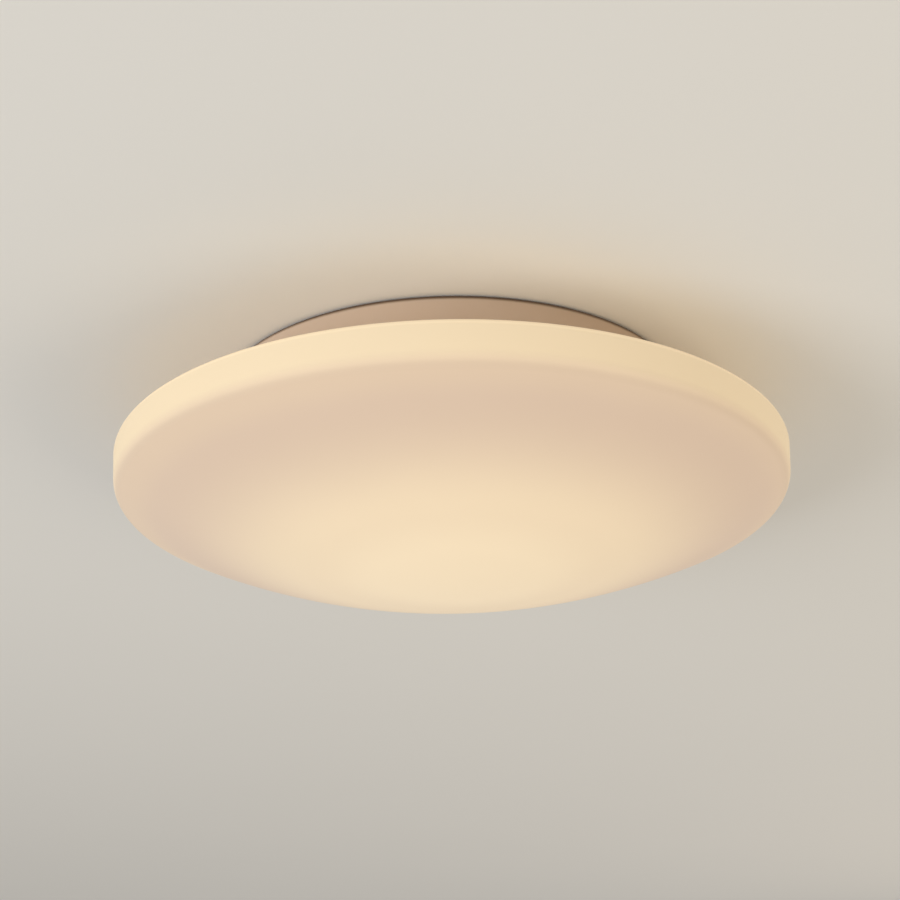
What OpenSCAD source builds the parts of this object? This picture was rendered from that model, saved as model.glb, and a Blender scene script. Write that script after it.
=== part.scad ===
// Round LED ceiling light: an opal glass shade under a short metal canopy.
// Millimetres. The origin is the centre of the canopy's ceiling face, and +Z points up into the ceiling.
// The near side is -Y.

/* [Glass shade] */
// Outer radius of the glass at the top of its rim wall
shade_r = 190; // [170:1:230]
// Height of the rim wall, from the top of the glass to the edge of the dome
wall_h = 22; // [18:1:34]
// How much narrower the rim wall is at its foot
wall_draft = 1.1; // [0.5:0.1:2.5]
// Depth of the dome below the rim wall
dome_depth = 45; // [34:1:60]
// Thickness of the glass
glass_t = 4; // [3:0.5:5]
// Radius of the rounded edge between rim wall and dome
corner_r = 8.5; // [7:0.5:12]
// Radius of the rounded edge at the top of the rim wall
shoulder_r = 3; // [2:0.5:6]
// How far the top of the glass reaches in under the canopy, to its round opening
glass_lap = 12; // [11:0.5:13]

/* [Canopy] */
// Outer radius of the canopy
canopy_r = 131; // [120:1:146]
// Height of the canopy wall
canopy_h = 41.5; // [38:0.5:50]
// Thickness of the canopy's sheet steel
sheet_t = 1; // [0.8:0.1:1.5]
// Outer radius of the bend at the top edge
top_bend_r = 3; // [2:0.5:5]
// Outer radius of the bend at the bottom edge
foot_bend_r = 2; // [1.8:0.1:3]
// Width of the flange turned in at the foot
flange_w = 9; // [6:0.5:12]
// Radius of the pressed recess round the cable entry
recess_r = 17; // [16:0.5:20]
// Depth of that recess
recess_depth = 3; // [2.5:0.5:4]
// Pitch circle of the holes for the ceiling screws
ceiling_pcd = 180; // [170:1:190]
// Radius of the holes for the ceiling screws
ceiling_hole_r = 2.6; // [2:0.1:3.2]
// Thickness of the soft ring on the canopy's foot
seal_t = 1.2; // [1:0.1:3]
// Width of that ring
seal_w = 5; // [3:0.5:6]

/* [Cable entry] */
// Radius of the hole in the canopy
cable_hole_r = 10; // [8:0.5:11]
// Radius of the grommet's bore
cable_bore_r = 5; // [3:0.5:6]

/* [Tray and pillars] */
// Gap between the tray and the edge of the glass, for the springs
spring_room = 11; // [9:0.5:13]
// Thickness of the tray's sheet
tray_t = 1; // [0.8:0.1:1.5]
// How far the tray's floor lies below the foot of the canopy
tray_below = 8.5; // [7:0.5:10]
// Distance of the pillars inside the tray's edge
pillar_inset = 11; // [10:0.5:13]
// Radius of the pillars
pillar_r = 4; // [3:0.5:5]
// Radius of the hole for the LED leads
lead_hole_r = 5; // [5:0.5:7]

/* [Glass springs] */
// Width of each spring
clip_w = 14; // [10:1:18]
// Thickness of the spring steel
clip_t = 0.6; // [0.4:0.1:0.8]
// How far the nose reaches past the edge of the glass
clip_bite = 4; // [3:0.5:5]
// Angle of the flank that carries the glass
clip_angle = 45; // [40:1:50]
// Height of the spring's tail below its nose
clip_tail = 7; // [5:0.5:9]
// Radius of the rivet shanks
rivet_r = 1.25; // [1:0.05:1.5]

/* [LED board] */
// Distance of the board's edge inside the tray's edge
board_inset = 20; // [17:0.5:24]
// Thickness of the circuit board
board_t = 1.6; // [1:0.2:2]
// Radius of the innermost ring of LEDs
led_ring_r = 24; // [23:0.5:25]
// Distance of the outermost ring of LEDs inside the board's edge
led_inset = 10; // [5:0.5:14]
// Length of one LED package
led_l = 3.5; // [2.8:0.1:4]
// Width of one LED package
led_w = 2.8; // [2:0.1:3.5]
// Height of one LED package
led_h = 0.7; // [0.5:0.1:1.5]

/* [Driver] */
// Length of the driver's case
driver_l = 112; // [108:1:116]
// Width of the driver's case
driver_w = 42; // [38:1:44]
// Height of the driver's case with its cover
driver_h = 24; // [22:1:28]
// Thickness of the case's walls
driver_wall = 2; // [1.5:0.1:2.5]
// Distance of the case's middle line behind the centre
driver_y = 49; // [48:0.5:51]

/* [Terminal block] */
// Length of the block
block_l = 30; // [28:0.5:32]
// Depth of the block, from its wire side to its lever side
block_w = 22; // [22:0.5:24]
// Height of the block
block_h = 17; // [16.5:0.5:20]
// Distance from pole to pole
pole_pitch = 8.5; // [7.5:0.1:9.3]
// Distance of the block's middle line in front of the centre
block_y = 42; // [41:0.5:43]
// Radius of the openings for the wires
wire_hole_r = 1.9; // [1.5:0.1:2]
// Thickness of the ribs between the levers
rib_w = 2.4; // [2:0.1:3]
// Thickness of a lever's arm
lever_t = 2.2; // [1.8:0.1:2.4]
// Radius of a lever's barrel
barrel_r = 2.4; // [2.2:0.1:2.6]
// Radius of a lever's trunnions
trunnion_r = 1.2; // [1:0.1:1.4]

/* [Screws and leads] */
// Radius of the M4 studs
stud_r = 2; // [1.5:0.1:2.2]
// Height of the nuts
nut_h = 3.2; // [2.5:0.1:4]
// Radius of a mains lead
mains_r = 1.3; // [1:0.1:1.4]
// Radius of an LED lead
led_lead_r = 0.8; // [0.6:0.05:0.9]

/* [Hidden] */

// Clearances
seal_gap = 0.3;
clip_gap = 0.3;
thread_gap = 0.1;
fit_gap = 0.1;
lead_gap = 0.15;
slack = 0.3;
cut = 1;

// Heights
plate_z = -sheet_t;
rim_z = -(canopy_h + seal_t + seal_gap);
tray_z = -(canopy_h + tray_below);
tray_foot_z = tray_z - tray_t;
board_z = tray_foot_z - board_t;

// Radii, from the canopy inwards
opening_r = canopy_r - glass_lap;
tray_r = opening_r - spring_room;
pillar_at = tray_r - pillar_inset;
board_r = tray_r - board_inset;

// Outline of the glass, in the radius and height plane
wall_top = [shade_r, rim_z];
wall_foot = [shade_r - wall_draft, rim_z - wall_h];
wall_dir = unit(wall_foot - wall_top);
wall_in = [wall_dir[1], -wall_dir[0]];
dome_r = (pow(wall_foot[0], 2) + pow(dome_depth, 2)) / (2 * dome_depth);
dome_c = [0, wall_foot[1] - dome_depth + dome_r];
corner_c = line_circle(wall_top + corner_r * wall_in, wall_dir, dome_c, dome_r - corner_r);
corner_dir = unit(corner_c - dome_c);
shoulder_c = at_height(wall_top + shoulder_r * wall_in, wall_dir, rim_z - shoulder_r);
lip_r = glass_t / 2;
lip_c = [opening_r + lip_r, rim_z - lip_r];

// Course of the springs in the same plane: the flank touches the lip,
// and the flat part sets the tray's height
clip_bend_r = 1.5;
clip_edge = 0.3;
rivet_head_r = 1.7 * rivet_r;
clip_flat = 2 * rivet_head_r + 0.75;
clip_out = [cos(clip_angle), -sin(clip_angle)];
clip_touch = lip_c - (lip_r + clip_gap) * [sin(clip_angle), cos(clip_angle)];
clip_flat_r = tray_r + clip_t + fit_gap;
clip_bend = clip_touch + clip_out * (clip_flat_r - clip_touch[0]) / clip_out[0];
clip_nose = clip_touch + clip_out * (opening_r + clip_bite - clip_touch[0]) / clip_out[0];
tray_top_z = clip_bend[1] + clip_flat + clip_edge;
rivet_z = clip_bend[1] + clip_flat - rivet_head_r - 0.15;

// Angles of what stands three times round the axis
ceiling_angles = [60, 180, 300];
pillar_angles = [90, 210, 330];
clip_angles = [30, 150, 270];

// Screws and nuts
nut_r = 1.75 * stud_r;
nut_spare = 1.5;
pillar_flange_r = pillar_r + 3;

// LED board
led_counts = [8, 14, 20, 26];
led_ring_step = (board_r - led_inset - led_ring_r) / (len(led_counts) - 1);
screw_ring_r = led_ring_r + 1.5 * led_ring_step;
screw_angles = [45, 135, 225, 315];
screw_r = 1.5;
screw_head_r = 2.8;
screw_head_h = 1.8;
screw_l = 5;
board_hole_r = lead_hole_r + 2;
connector_size = [9, 8, 4];
connector_x = board_hole_r + 2 + connector_size[0] / 2;
led_lead_y = 1.9;

// Driver
driver_top_z = plate_z - recess_depth - 1;
driver_foot_z = driver_top_z - driver_h;
cover_t = driver_wall;
cover_lip = 1.5;
ear_l = 12;
ear_w = 12;
ear_t = 3;
ear_top_z = driver_top_z - cover_t;
ear_stud_x = driver_l / 2 + ear_l / 2;
ear_y = 11;
driver_boss_h = 3;
driver_board_t = 1.6;
driver_board_z = driver_foot_z + driver_wall + driver_boss_h;
driver_parts_z = driver_board_z + driver_board_t;
driver_lead_drop = 8;
driver_lead_z = driver_top_z - driver_lead_drop;
mains_in_offsets = [-13, -7];
mains_in_y = [for (offset = mains_in_offsets) driver_y + offset];
led_out_offsets = [6, 11];
led_out_y = [for (offset = led_out_offsets) driver_y + offset];
case_edge_r = 4;
core_size = [20, 8, 12];
winding_size = [14, 16, 8];
winding_lift = 2;
transformer_x = 4;
capacitor_r = 4.5;
capacitor_h = 12;
capacitor_x = [-32, -18, 34];
capacitor_back = 4;

// Terminal block
block_foot_z = plate_z - block_h;
block_front_y = -block_y - block_w / 2;
block_back_y = -block_y + block_w / 2;
bay_w = pole_pitch - rib_w;
lever_gap = 0.2;
lever_w = bay_w - 2 * lever_gap;
bay_top_z = block_foot_z + 8.5;
wire_z = bay_top_z + 3.5;
arm_drop = barrel_r + 1.3;
pivot = [block_back_y - arm_drop - 1.3, block_foot_z + arm_drop];
lever_tip = 2.5;
trunnion_l = rib_w / 2 - lever_gap;
block_ear_l = 10;
block_ear_w = 12;
block_ear_t = 3;
block_stud_x = block_l / 2 + block_ear_l / 2;
clamp_t = 0.7;
clamp_size = [bay_w - 1.1, 8, 6];
clamp_y = block_front_y + 11;
pole_x = [-pole_pitch, 0, pole_pitch];

// Earth stud on the canopy plate
earth_at = [44, -20];
earth_collar_h = 2;
tag_t = 0.8;
tag_barrel_l = 7;
tag_barrel_r = mains_r + 0.7;
tag_z = plate_z - earth_collar_h;

// Clip of the mains leads
lead_clip_size = [14, 8, 8.5];
lead_clip_at = [-69, -4];
lead_clip_x = [-66, -72];
lead_clip_z = -6;

// Routes of the leads, chosen by hand
live_route = [[-8.5, -48, -6], [-8.5, -57, -6], [-10, -61, -6], [-14, -63.5, -6], [-22, -63, -6],
    [-36, -57, -6], [-50, -45, -6], [-60, -30, -6], [-65, -18, -6], [-66, -10, -6], [-66, 2, -6],
    [-67, 10, -7], [-69, 18, -9.5], [-70, 25, -12], [-69, 31, -13], [-66, 35, -13], [-62, 36, -13],
    [-48, 36, -13]];
neutral_route = [[0, -48, -6], [0, -60, -6], [-2, -66, -6], [-7, -69.5, -6], [-16, -70.5, -6],
    [-32, -66, -6], [-50, -54, -6], [-63, -38, -6], [-70, -21, -6], [-72, -11, -6], [-72, 2, -6],
    [-74, 10, -7], [-76, 19, -9.5], [-77, 28, -12], [-76, 36, -13], [-72, 41, -13], [-66, 42, -13],
    [-48, 42, -13]];
earth_route = [[8.5, -48, -6], [8.5, -57, -6], [11, -63, -6], [17, -66, -5.5], [26, -65, -5],
    [36, -59, -4.5], [42, -50, -4], [44, -42, -3.5], [44, -29, -3.5]];
red_route = [[48, 55, -13], [60, 55, -13], [65, 53, -13.5], [68, 48, -15], [69, 38, -18], [66, 24, -23],
    [56, 12, -28], [42, 5, -32], [26, 2.5, -35], [12, 2, -36.5], [5, 2, -38], [1.2, 1.9, -41],
    [0, 1.9, -45], [0, 1.9, -51.5], [0.7, 1.9, -53.4], [2.6, 1.9, -54.6], [5, 1.9, -54.6], [12, 1.9, -54.6]];
black_route = [[48, 60, -13], [61, 60, -13], [67, 58, -13.5], [72, 51, -15], [73, 39, -18], [70, 22, -23],
    [58, 8, -28], [43, 0, -32], [26, -2.5, -35], [12, -2, -36.5], [5, -2, -38], [1.2, -1.9, -41],
    [0, -1.9, -45], [0, -1.9, -51.5], [0.7, -1.9, -53.4], [2.6, -1.9, -54.6], [5, -1.9, -54.6],
    [12, -1.9, -54.6]];

// Plane geometry

function unit(v) = v / norm(v);
function turn(v, a) = [v[0] * cos(a) - v[1] * sin(a), v[0] * sin(a) + v[1] * cos(a)];

// The far crossing of a line, from p along d, with a circle
function line_circle(p, d, c, r) = let (q = p - c, b = q * d) p + d * (sqrt(b * b - q * q + r * r) - b);

// The point of a line, from p along d, at a height
function at_height(p, d, z) = p + d * (z - p[1]) / d[1];

// Points round c from angle a to angle b, in n steps, leaving out the first few
function arc(c, r, a, b, n, skip = 0) = [for (k = [skip : n]) let (t = a + (b - a) * k / n)
    c + r * [cos(t), sin(t)]];

// Points of the arc that rounds the corner b between a and c
function arc_corner(a, b, c, r, n = 5) = let (
        u = unit(a - b),
        v = unit(c - b),
        half = acos(u * v) / 2,
        centre = b + unit(u + v) * r / sin(half),
        start = b + u * r / tan(half) - centre,
        sweep = (cross(u, v) < 0 ? 1 : -1) * (180 - 2 * half)
    ) [for (k = [0 : n]) centre + turn(start, sweep * k / n)];

// An open path with its inner corners rounded, one radius for each
function rounded_path(p, radii) = [p[0],
    for (i = [1 : len(p) - 2]) each arc_corner(p[i - 1], p[i], p[i + 1], radii[i - 1]), p[len(p) - 1]];

// A closed outline with every corner rounded
function rounded_outline(p, r) = let (n = len(p)) [for (i = [0 : n - 1])
    each arc_corner(p[(i + n - 1) % n], p[i], p[(i + 1) % n], r)];

// The path moved sideways by d, to the left where d is positive
function beside(p, d) = let (
        n = [for (i = [0 : len(p) - 2]) turn(unit(p[i + 1] - p[i]), 90)],
        m = len(n) - 1
    ) [for (i = [0 : len(p) - 1])
        let (a = n[max(i - 1, 0)], b = n[min(i, m)]) p[i] + (a + b) * d / (1 + a * b)];

// Sheet of thickness t along a path, on its left where t is positive
module sheet(p, t) polygon(concat(p, [for (i = [len(p) - 1 : -1 : 0]) beside(p, t)[i]]));

// Solid building blocks

// A block with rounded upright edges, standing on z = 0
module slab(x, y, z, r) linear_extrude(z)
    polygon(rounded_outline([[-x / 2, -y / 2], [x / 2, -y / 2], [x / 2, y / 2], [-x / 2, y / 2]], r));

// Copies at angles round the axis, at distance r
module around(angles, r) for (a = angles) rotate(a) translate([r, 0, 0]) children();

// A hexagon nut whose top is at z, round a stud
module nut(z) translate([0, 0, z - nut_h]) difference() {
    cylinder(r = nut_r, h = nut_h, $fn = 6);
    translate([0, 0, -cut]) cylinder(r = stud_r + thread_gap, h = nut_h + 2 * cut);
}

// A welded stud with a collar under the canopy plate
module stud(collar_h, seat_t) {
    tip_z = plate_z - collar_h - seat_t - nut_h - nut_spare;
    translate([0, 0, tip_z]) cylinder(r = stud_r, h = plate_z - tip_z);
    if (collar_h > 0) translate([0, 0, plate_z - collar_h]) cylinder(r = stud_r + 1.5, h = collar_h);
}

// Directions across a route at its point i, from the segments before and after it
function along(p, i) = unit(unit(p[min(i + 1, len(p) - 1)] - p[min(i, len(p) - 2)])
    + unit(p[max(i, 1)] - p[max(i - 1, 0)]));
function side(t) = unit(cross(t, abs(t[2]) < 0.9 ? [0, 0, 1] : [0, 1, 0]));
function frames(p, i = 0, s = undef) = i == len(p) ? [] : let (
        t = along(p, i),
        a = s == undef ? side(t) : unit(s - (s * t) * t)
    ) concat([[a, cross(t, a)]], frames(p, i + 1, a));

// A lead of radius r with eight sides along a route
module lead(p, r) {
    f = frames(p);
    n = len(p);
    points = [for (i = [0 : n - 1], k = [0 : 7]) p[i] + r * (f[i][0] * cos(45 * k) + f[i][1] * sin(45 * k))];
    walls = [for (i = [0 : n - 2], k = [0 : 7]) let (a = 8 * i + k, b = 8 * i + (k + 1) % 8)
        each [[a, a + 8, b + 8], [a, b + 8, b]]];
    caps = [for (k = [1 : 6]) each [[0, k, k + 1], [8 * n - 8, 8 * n - 8 + k + 1, 8 * n - 8 + k]]];
    polyhedron(points, concat(walls, caps));
}

// Sub-parts

// Half the section of the glass: from the middle of the dome out, up the wall, in to the lip and back inside
module glass_outline() {
    edge_a = atan2(corner_dir[1], corner_dir[0]);
    wall_a = atan2(-wall_in[1], -wall_in[0]);
    inner_dome_r = dome_r - glass_t;
    inner_corner_r = corner_r - glass_t;
    inner_top = at_height(wall_top + glass_t * wall_in, wall_dir, rim_z - glass_t);
    polygon(concat(
        arc(dome_c, dome_r, -90, edge_a, 24),
        arc(corner_c, corner_r, edge_a, wall_a, 8, 1),
        arc(shoulder_c, shoulder_r, wall_a, 90, 5),
        arc(lip_c, lip_r, 90, 270, 8),
        [inner_top],
        arc(corner_c, inner_corner_r, wall_a, edge_a, 6),
        arc(dome_c, inner_dome_r, edge_a, -90, 24, 1)
    ));
}

module glass_shade() color([0.93, 0.86, 0.74]) rotate_extrude($fn = 240) glass_outline();

module canopy_pan() color([0.80, 0.76, 0.70]) difference() {
    path = rounded_path([
        [cable_hole_r, -recess_depth],
        [recess_r, -recess_depth],
        [recess_r + recess_depth, 0],
        [canopy_r, 0],
        [canopy_r, -canopy_h],
        [canopy_r - flange_w, -canopy_h]
    ], [2, 1, top_bend_r, foot_bend_r]);
    rotate_extrude($fn = 180) sheet(path, -sheet_t);
    around(ceiling_angles, ceiling_pcd / 2) translate([0, 0, plate_z - cut])
        cylinder(r = ceiling_hole_r, h = sheet_t + 2 * cut, $fn = 48);
}

module canopy_studs() color([0.75, 0.75, 0.74]) {
    collar = plate_z - ear_top_z;
    for (s = [-1, 1]) translate([s * ear_stud_x, driver_y - s * ear_y, 0]) stud(collar, ear_t, $fn = 32);
    for (s = [-1, 1]) translate([s * block_stud_x, -block_y, 0]) stud(0, block_ear_t, $fn = 32);
    translate(earth_at) stud(earth_collar_h, tag_t, $fn = 32);
}

module tray_pillars() color([0.75, 0.75, 0.74]) around(pillar_angles, pillar_at) {
    thread_l = tray_t + nut_h + nut_spare;
    translate([0, 0, plate_z - 1]) cylinder(r = pillar_flange_r, h = 1, $fn = 48);
    translate([0, 0, tray_z]) cylinder(r = pillar_r, h = plate_z - tray_z, $fn = 48);
    translate([0, 0, tray_z - thread_l]) cylinder(r = stud_r, h = thread_l + 1, $fn = 32);
}

// A grommet round a bore, with its groove on a sheet between z and z - t
module grommet(bore_r, hole_r, z, t, top_h, foot_h, wide, narrow) rotate_extrude($fn = 64) {
    neck_r = hole_r - fit_gap;
    polygon([
        [bore_r, z + top_h],
        [wide - 1, z + top_h],
        [wide, z + top_h - 0.8],
        [wide, z],
        [neck_r, z],
        [neck_r, z - t],
        [narrow, z - t],
        [narrow, z - t - foot_h + 0.8],
        [narrow - 1, z - t - foot_h],
        [bore_r, z - t - foot_h]
    ]);
}

module cable_grommet() color([0.12, 0.12, 0.12])
    grommet(cable_bore_r, cable_hole_r, -recess_depth, sheet_t, 1.5, 3, cable_hole_r + 3, cable_hole_r + 3);

module tray_grommet() color([0.12, 0.12, 0.12])
    grommet(lead_hole_r - 1.4, lead_hole_r, tray_z, tray_t, 1.8, 1.4, lead_hole_r + 2, lead_hole_r + 1.4);

module seal_ring() color([0.88, 0.87, 0.84]) rotate_extrude($fn = 180) {
    outer = canopy_r - foot_bend_r - 0.5;
    translate([outer - seal_w, -canopy_h - seal_t]) square([seal_w, seal_t]);
}

module led_tray() color([0.92, 0.92, 0.90]) difference() {
    path = rounded_path([[lead_hole_r, tray_foot_z], [tray_r, tray_foot_z], [tray_r, tray_top_z]], [3]);
    rotate_extrude($fn = 180) sheet(path, tray_t);
    around(pillar_angles, pillar_at) translate([0, 0, tray_foot_z - cut])
        cylinder(r = stud_r + slack, h = tray_t + 2 * cut, $fn = 32);
    around(screw_angles, screw_ring_r) translate([0, 0, tray_foot_z - cut])
        cylinder(r = screw_r + fit_gap, h = tray_t + 2 * cut, $fn = 32);
    rivet_places() translate([-tray_t - cut, 0, 0]) rotate([0, 90, 0])
        cylinder(r = rivet_r + fit_gap, h = tray_t + 2 * cut, $fn = 24);
}

module tray_nuts() color([0.78, 0.78, 0.77]) around(pillar_angles, pillar_at) nut(tray_foot_z, $fn = 32);

// The spring's outer side, from its top down to its tail
clip_path = rounded_path([[clip_flat_r, tray_top_z - clip_edge], clip_bend, clip_nose,
    clip_nose + [-1.3 * clip_tail, -clip_tail]], [clip_bend_r, clip_bend_r]);

module rivet_places() for (a = clip_angles, s = [-1, 1]) rotate(a)
    translate([tray_r, s * clip_w / 4, rivet_z]) children();

module shade_clips() color([0.72, 0.72, 0.71]) difference() {
    for (a = clip_angles) rotate(a) rotate([90, 0, 0])
        linear_extrude(clip_w, center = true) sheet(clip_path, -clip_t);
    rivet_places() rotate([0, 90, 0]) cylinder(r = rivet_r + fit_gap, h = 3, $fn = 24);
}

module clip_rivets() color([0.80, 0.80, 0.79]) rivet_places() rotate([0, 90, 0]) {
    inner = -tray_t - fit_gap - 0.1;
    outer = clip_t + fit_gap;
    head_h = 0.8;
    translate([0, 0, inner - head_h]) cylinder(r = rivet_head_r, h = head_h, $fn = 24);
    translate([0, 0, inner - head_h / 2]) cylinder(r = rivet_r, h = outer - inner + head_h, $fn = 24);
    translate([0, 0, outer]) cylinder(r = rivet_head_r, h = head_h, $fn = 24);
}

module led_board() color([0.95, 0.95, 0.93]) translate([0, 0, board_z]) difference() {
    cylinder(r = board_r, h = board_t, $fn = 120);
    translate([0, 0, -cut]) cylinder(r = board_hole_r, h = board_t + 2 * cut, $fn = 48);
    around(screw_angles, screw_ring_r) translate([0, 0, -cut])
        cylinder(r = screw_r + slack, h = board_t + 2 * cut, $fn = 32);
}

module led_packages() color([0.98, 0.90, 0.55]) for (k = [0 : len(led_counts) - 1])
    around([for (i = [0 : led_counts[k] - 1]) (i + k / 2) * 360 / led_counts[k]],
        led_ring_r + k * led_ring_step)
        translate([-led_l / 2, -led_w / 2, board_z - led_h]) cube([led_l, led_w, led_h]);

module board_connector() color([0.96, 0.96, 0.95]) translate([connector_x, 0, board_z]) difference() {
    size = connector_size;
    translate([0, 0, -size[2]]) slab(size[0], size[1], size[2], 0.6);
    for (s = [-1, 1]) translate([-size[0] / 2 - cut, s * led_lead_y, -size[2] / 2]) rotate([0, 90, 0])
        cylinder(r = led_lead_r + lead_gap, h = 5 + cut, $fn = 24);
}

module board_screws() color([0.80, 0.80, 0.79]) around(screw_angles, screw_ring_r) {
    translate([0, 0, board_z - screw_head_h / 2])
        cylinder(r = screw_r, h = screw_l + screw_head_h / 2, $fn = 24);
    translate([0, 0, board_z - screw_head_h]) cylinder(r1 = screw_head_r - 0.8, r2 = screw_head_r,
        h = screw_head_h, $fn = 32);
}

// Leads enter the ends of the driver's case through round holes
module driver_lead_holes() {
    for (y = mains_in_y) translate([-driver_l / 2 - cut, y, driver_lead_z]) rotate([0, 90, 0])
        cylinder(r = mains_r + lead_gap, h = driver_wall + 2 * cut, $fn = 24);
    for (y = led_out_y) translate([driver_l / 2 - driver_wall - cut, y, driver_lead_z]) rotate([0, 90, 0])
        cylinder(r = led_lead_r + lead_gap, h = driver_wall + 2 * cut, $fn = 24);
}

function driver_boss_at() = [for (x = [-1, 1], y = [-1, 1]) [x * (driver_l / 2 - driver_wall - 5),
    driver_y + y * (driver_w / 2 - driver_wall - 4), driver_foot_z + driver_wall / 2]];

module driver_case() color([0.94, 0.94, 0.93]) {
    body_h = driver_h - cover_t;
    difference() {
        translate([0, driver_y, driver_foot_z]) slab(driver_l, driver_w, body_h, case_edge_r);
        translate([0, driver_y, driver_foot_z + driver_wall])
            slab(driver_l - 2 * driver_wall, driver_w - 2 * driver_wall, body_h,
                case_edge_r - driver_wall / 2);
        driver_lead_holes();
    }
    for (p = driver_boss_at()) translate(p) cylinder(r = 2.5, h = driver_wall / 2 + driver_boss_h, $fn = 24);
    for (s = [-1, 1]) translate([s * (ear_stud_x - 0.5), driver_y - s * ear_y, ear_top_z - ear_t])
        difference() {
            translate([-ear_l / 2 - 0.5, -ear_w / 2, 0]) cube([ear_l + 1, ear_w, ear_t]);
            translate([s * 0.5, 0, -cut]) cylinder(r = stud_r + slack, h = ear_t + 2 * cut, $fn = 32);
        }
}

module driver_cover() color([0.94, 0.94, 0.93]) {
    inside = [driver_l - 2 * driver_wall - 2 * fit_gap, driver_w - 2 * driver_wall - 2 * fit_gap];
    rim = 0.75 * driver_wall;
    inner_r = case_edge_r - driver_wall / 2;
    translate([0, driver_y, driver_top_z - cover_t]) difference() {
        union() {
            slab(driver_l, driver_w, cover_t, case_edge_r);
            translate([0, 0, -cover_lip]) slab(inside[0], inside[1], cover_lip + cover_t / 2, inner_r);
        }
        translate([0, 0, -cover_lip - cut])
            slab(inside[0] - 2 * rim, inside[1] - 2 * rim, cover_lip + cut, inner_r - 1);
    }
}

module driver_board() color([0.15, 0.42, 0.22]) translate([0, driver_y, driver_board_z]) {
    inset = 2 * driver_wall + 1;
    slab(driver_l - inset, driver_w - inset, driver_board_t, case_edge_r - driver_wall / 2);
}

// A block standing on z = 0, centred on the axis
module centred_block(size) translate([-size[0] / 2, -size[1] / 2, 0]) cube(size);

module driver_transformer() color([0.85, 0.72, 0.20]) translate([transformer_x, driver_y, driver_parts_z]) {
    centred_block(core_size);
    translate([0, 0, winding_lift]) centred_block(winding_size);
}

module driver_capacitors() color([0.16, 0.18, 0.24]) for (x = capacitor_x)
    translate([x, driver_y - capacitor_back, driver_parts_z])
        cylinder(r = capacitor_r, h = capacitor_h, $fn = 32);

module driver_nuts() color([0.78, 0.78, 0.77]) for (s = [-1, 1])
    translate([s * ear_stud_x, driver_y - s * ear_y, 0]) nut(ear_top_z - ear_t, $fn = 32);

module clamp_pocket(gap) translate([-clamp_size[0] / 2 - gap, clamp_y - gap, bay_top_z])
    cube([clamp_size[0] + 2 * gap, clamp_size[1] + 2 * gap, clamp_size[2] + gap]);

module terminal_body() color([0.93, 0.92, 0.89]) difference() {
    union() {
        translate([0, -block_y, block_foot_z]) slab(block_l, block_w, block_h, 1.5);
        translate([-block_stud_x - block_ear_l / 2, -block_y - block_ear_w / 2, plate_z - block_ear_t])
            cube([2 * block_stud_x + block_ear_l, block_ear_w, block_ear_t]);
    }
    for (s = [-1, 1]) translate([s * block_stud_x, -block_y, plate_z - block_ear_t - cut])
        cylinder(r = stud_r + slack, h = block_ear_t + 2 * cut, $fn = 32);
    for (x = pole_x) translate([x, 0, 0]) {
        back = pivot[0] + arm_drop + 0.4;
        // room for the barrel, then for the arm
        translate([-bay_w / 2, pivot[0] - barrel_r - 3, block_foot_z - cut])
            cube([bay_w, back - pivot[0] + barrel_r + 3, bay_top_z - block_foot_z + cut]);
        translate([-bay_w / 2, block_front_y - cut, block_foot_z - cut])
            cube([bay_w, pivot[0] - block_front_y + cut, lever_t + slack + cut]);
        clamp_pocket(fit_gap);
        translate([0, block_front_y - cut, wire_z]) rotate([-90, 0, 0])
            cylinder(r = wire_hole_r, h = block_w + 2 * cut, $fn = 32);
        translate([-bay_w / 2 - trunnion_l - 0.1, pivot[0], pivot[1]]) rotate([0, 90, 0])
            cylinder(r = trunnion_r + fit_gap, h = bay_w + 2 * trunnion_l + 0.2, $fn = 32);
    }
}

module terminal_clamps() color([0.80, 0.62, 0.30]) for (x = pole_x) translate([x, 0, 0]) {
    w = clamp_size[0] - 2 * clamp_t;
    difference() {
        clamp_pocket(0);
        translate([-w / 2, clamp_y - cut, bay_top_z + clamp_t])
            cube([w, clamp_size[1] + 2 * cut, clamp_size[2] - 2 * clamp_t]);
    }
}

// A lever lies along -Y from its barrel and turns down about the pivot's axis
module lever(x) translate([x, pivot[0], pivot[1]]) {
    reach = pivot[0] - block_front_y + lever_tip;
    rotate([0, 90, 0]) cylinder(r = barrel_r, h = lever_w, center = true, $fn = 32);
    rotate([0, 90, 0]) cylinder(r = trunnion_r, h = bay_w + 2 * trunnion_l, center = true, $fn = 32);
    translate([-lever_w / 2, -reach, -arm_drop]) cube([lever_w, reach, lever_t]);
    translate([-lever_w / 2, -reach + 0.8, -arm_drop - 0.6]) cube([lever_w, 1.2, 0.6 + cut / 2]);
}

module lever_live() color([0.92, 0.45, 0.12]) lever(pole_x[0]);
module lever_neutral() color([0.92, 0.45, 0.12]) lever(pole_x[1]);
module lever_earth() color([0.92, 0.45, 0.12]) lever(pole_x[2]);

module terminal_nuts() color([0.78, 0.78, 0.77]) for (s = [-1, 1])
    translate([s * block_stud_x, -block_y, 0]) nut(plate_z - block_ear_t, $fn = 32);

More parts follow.
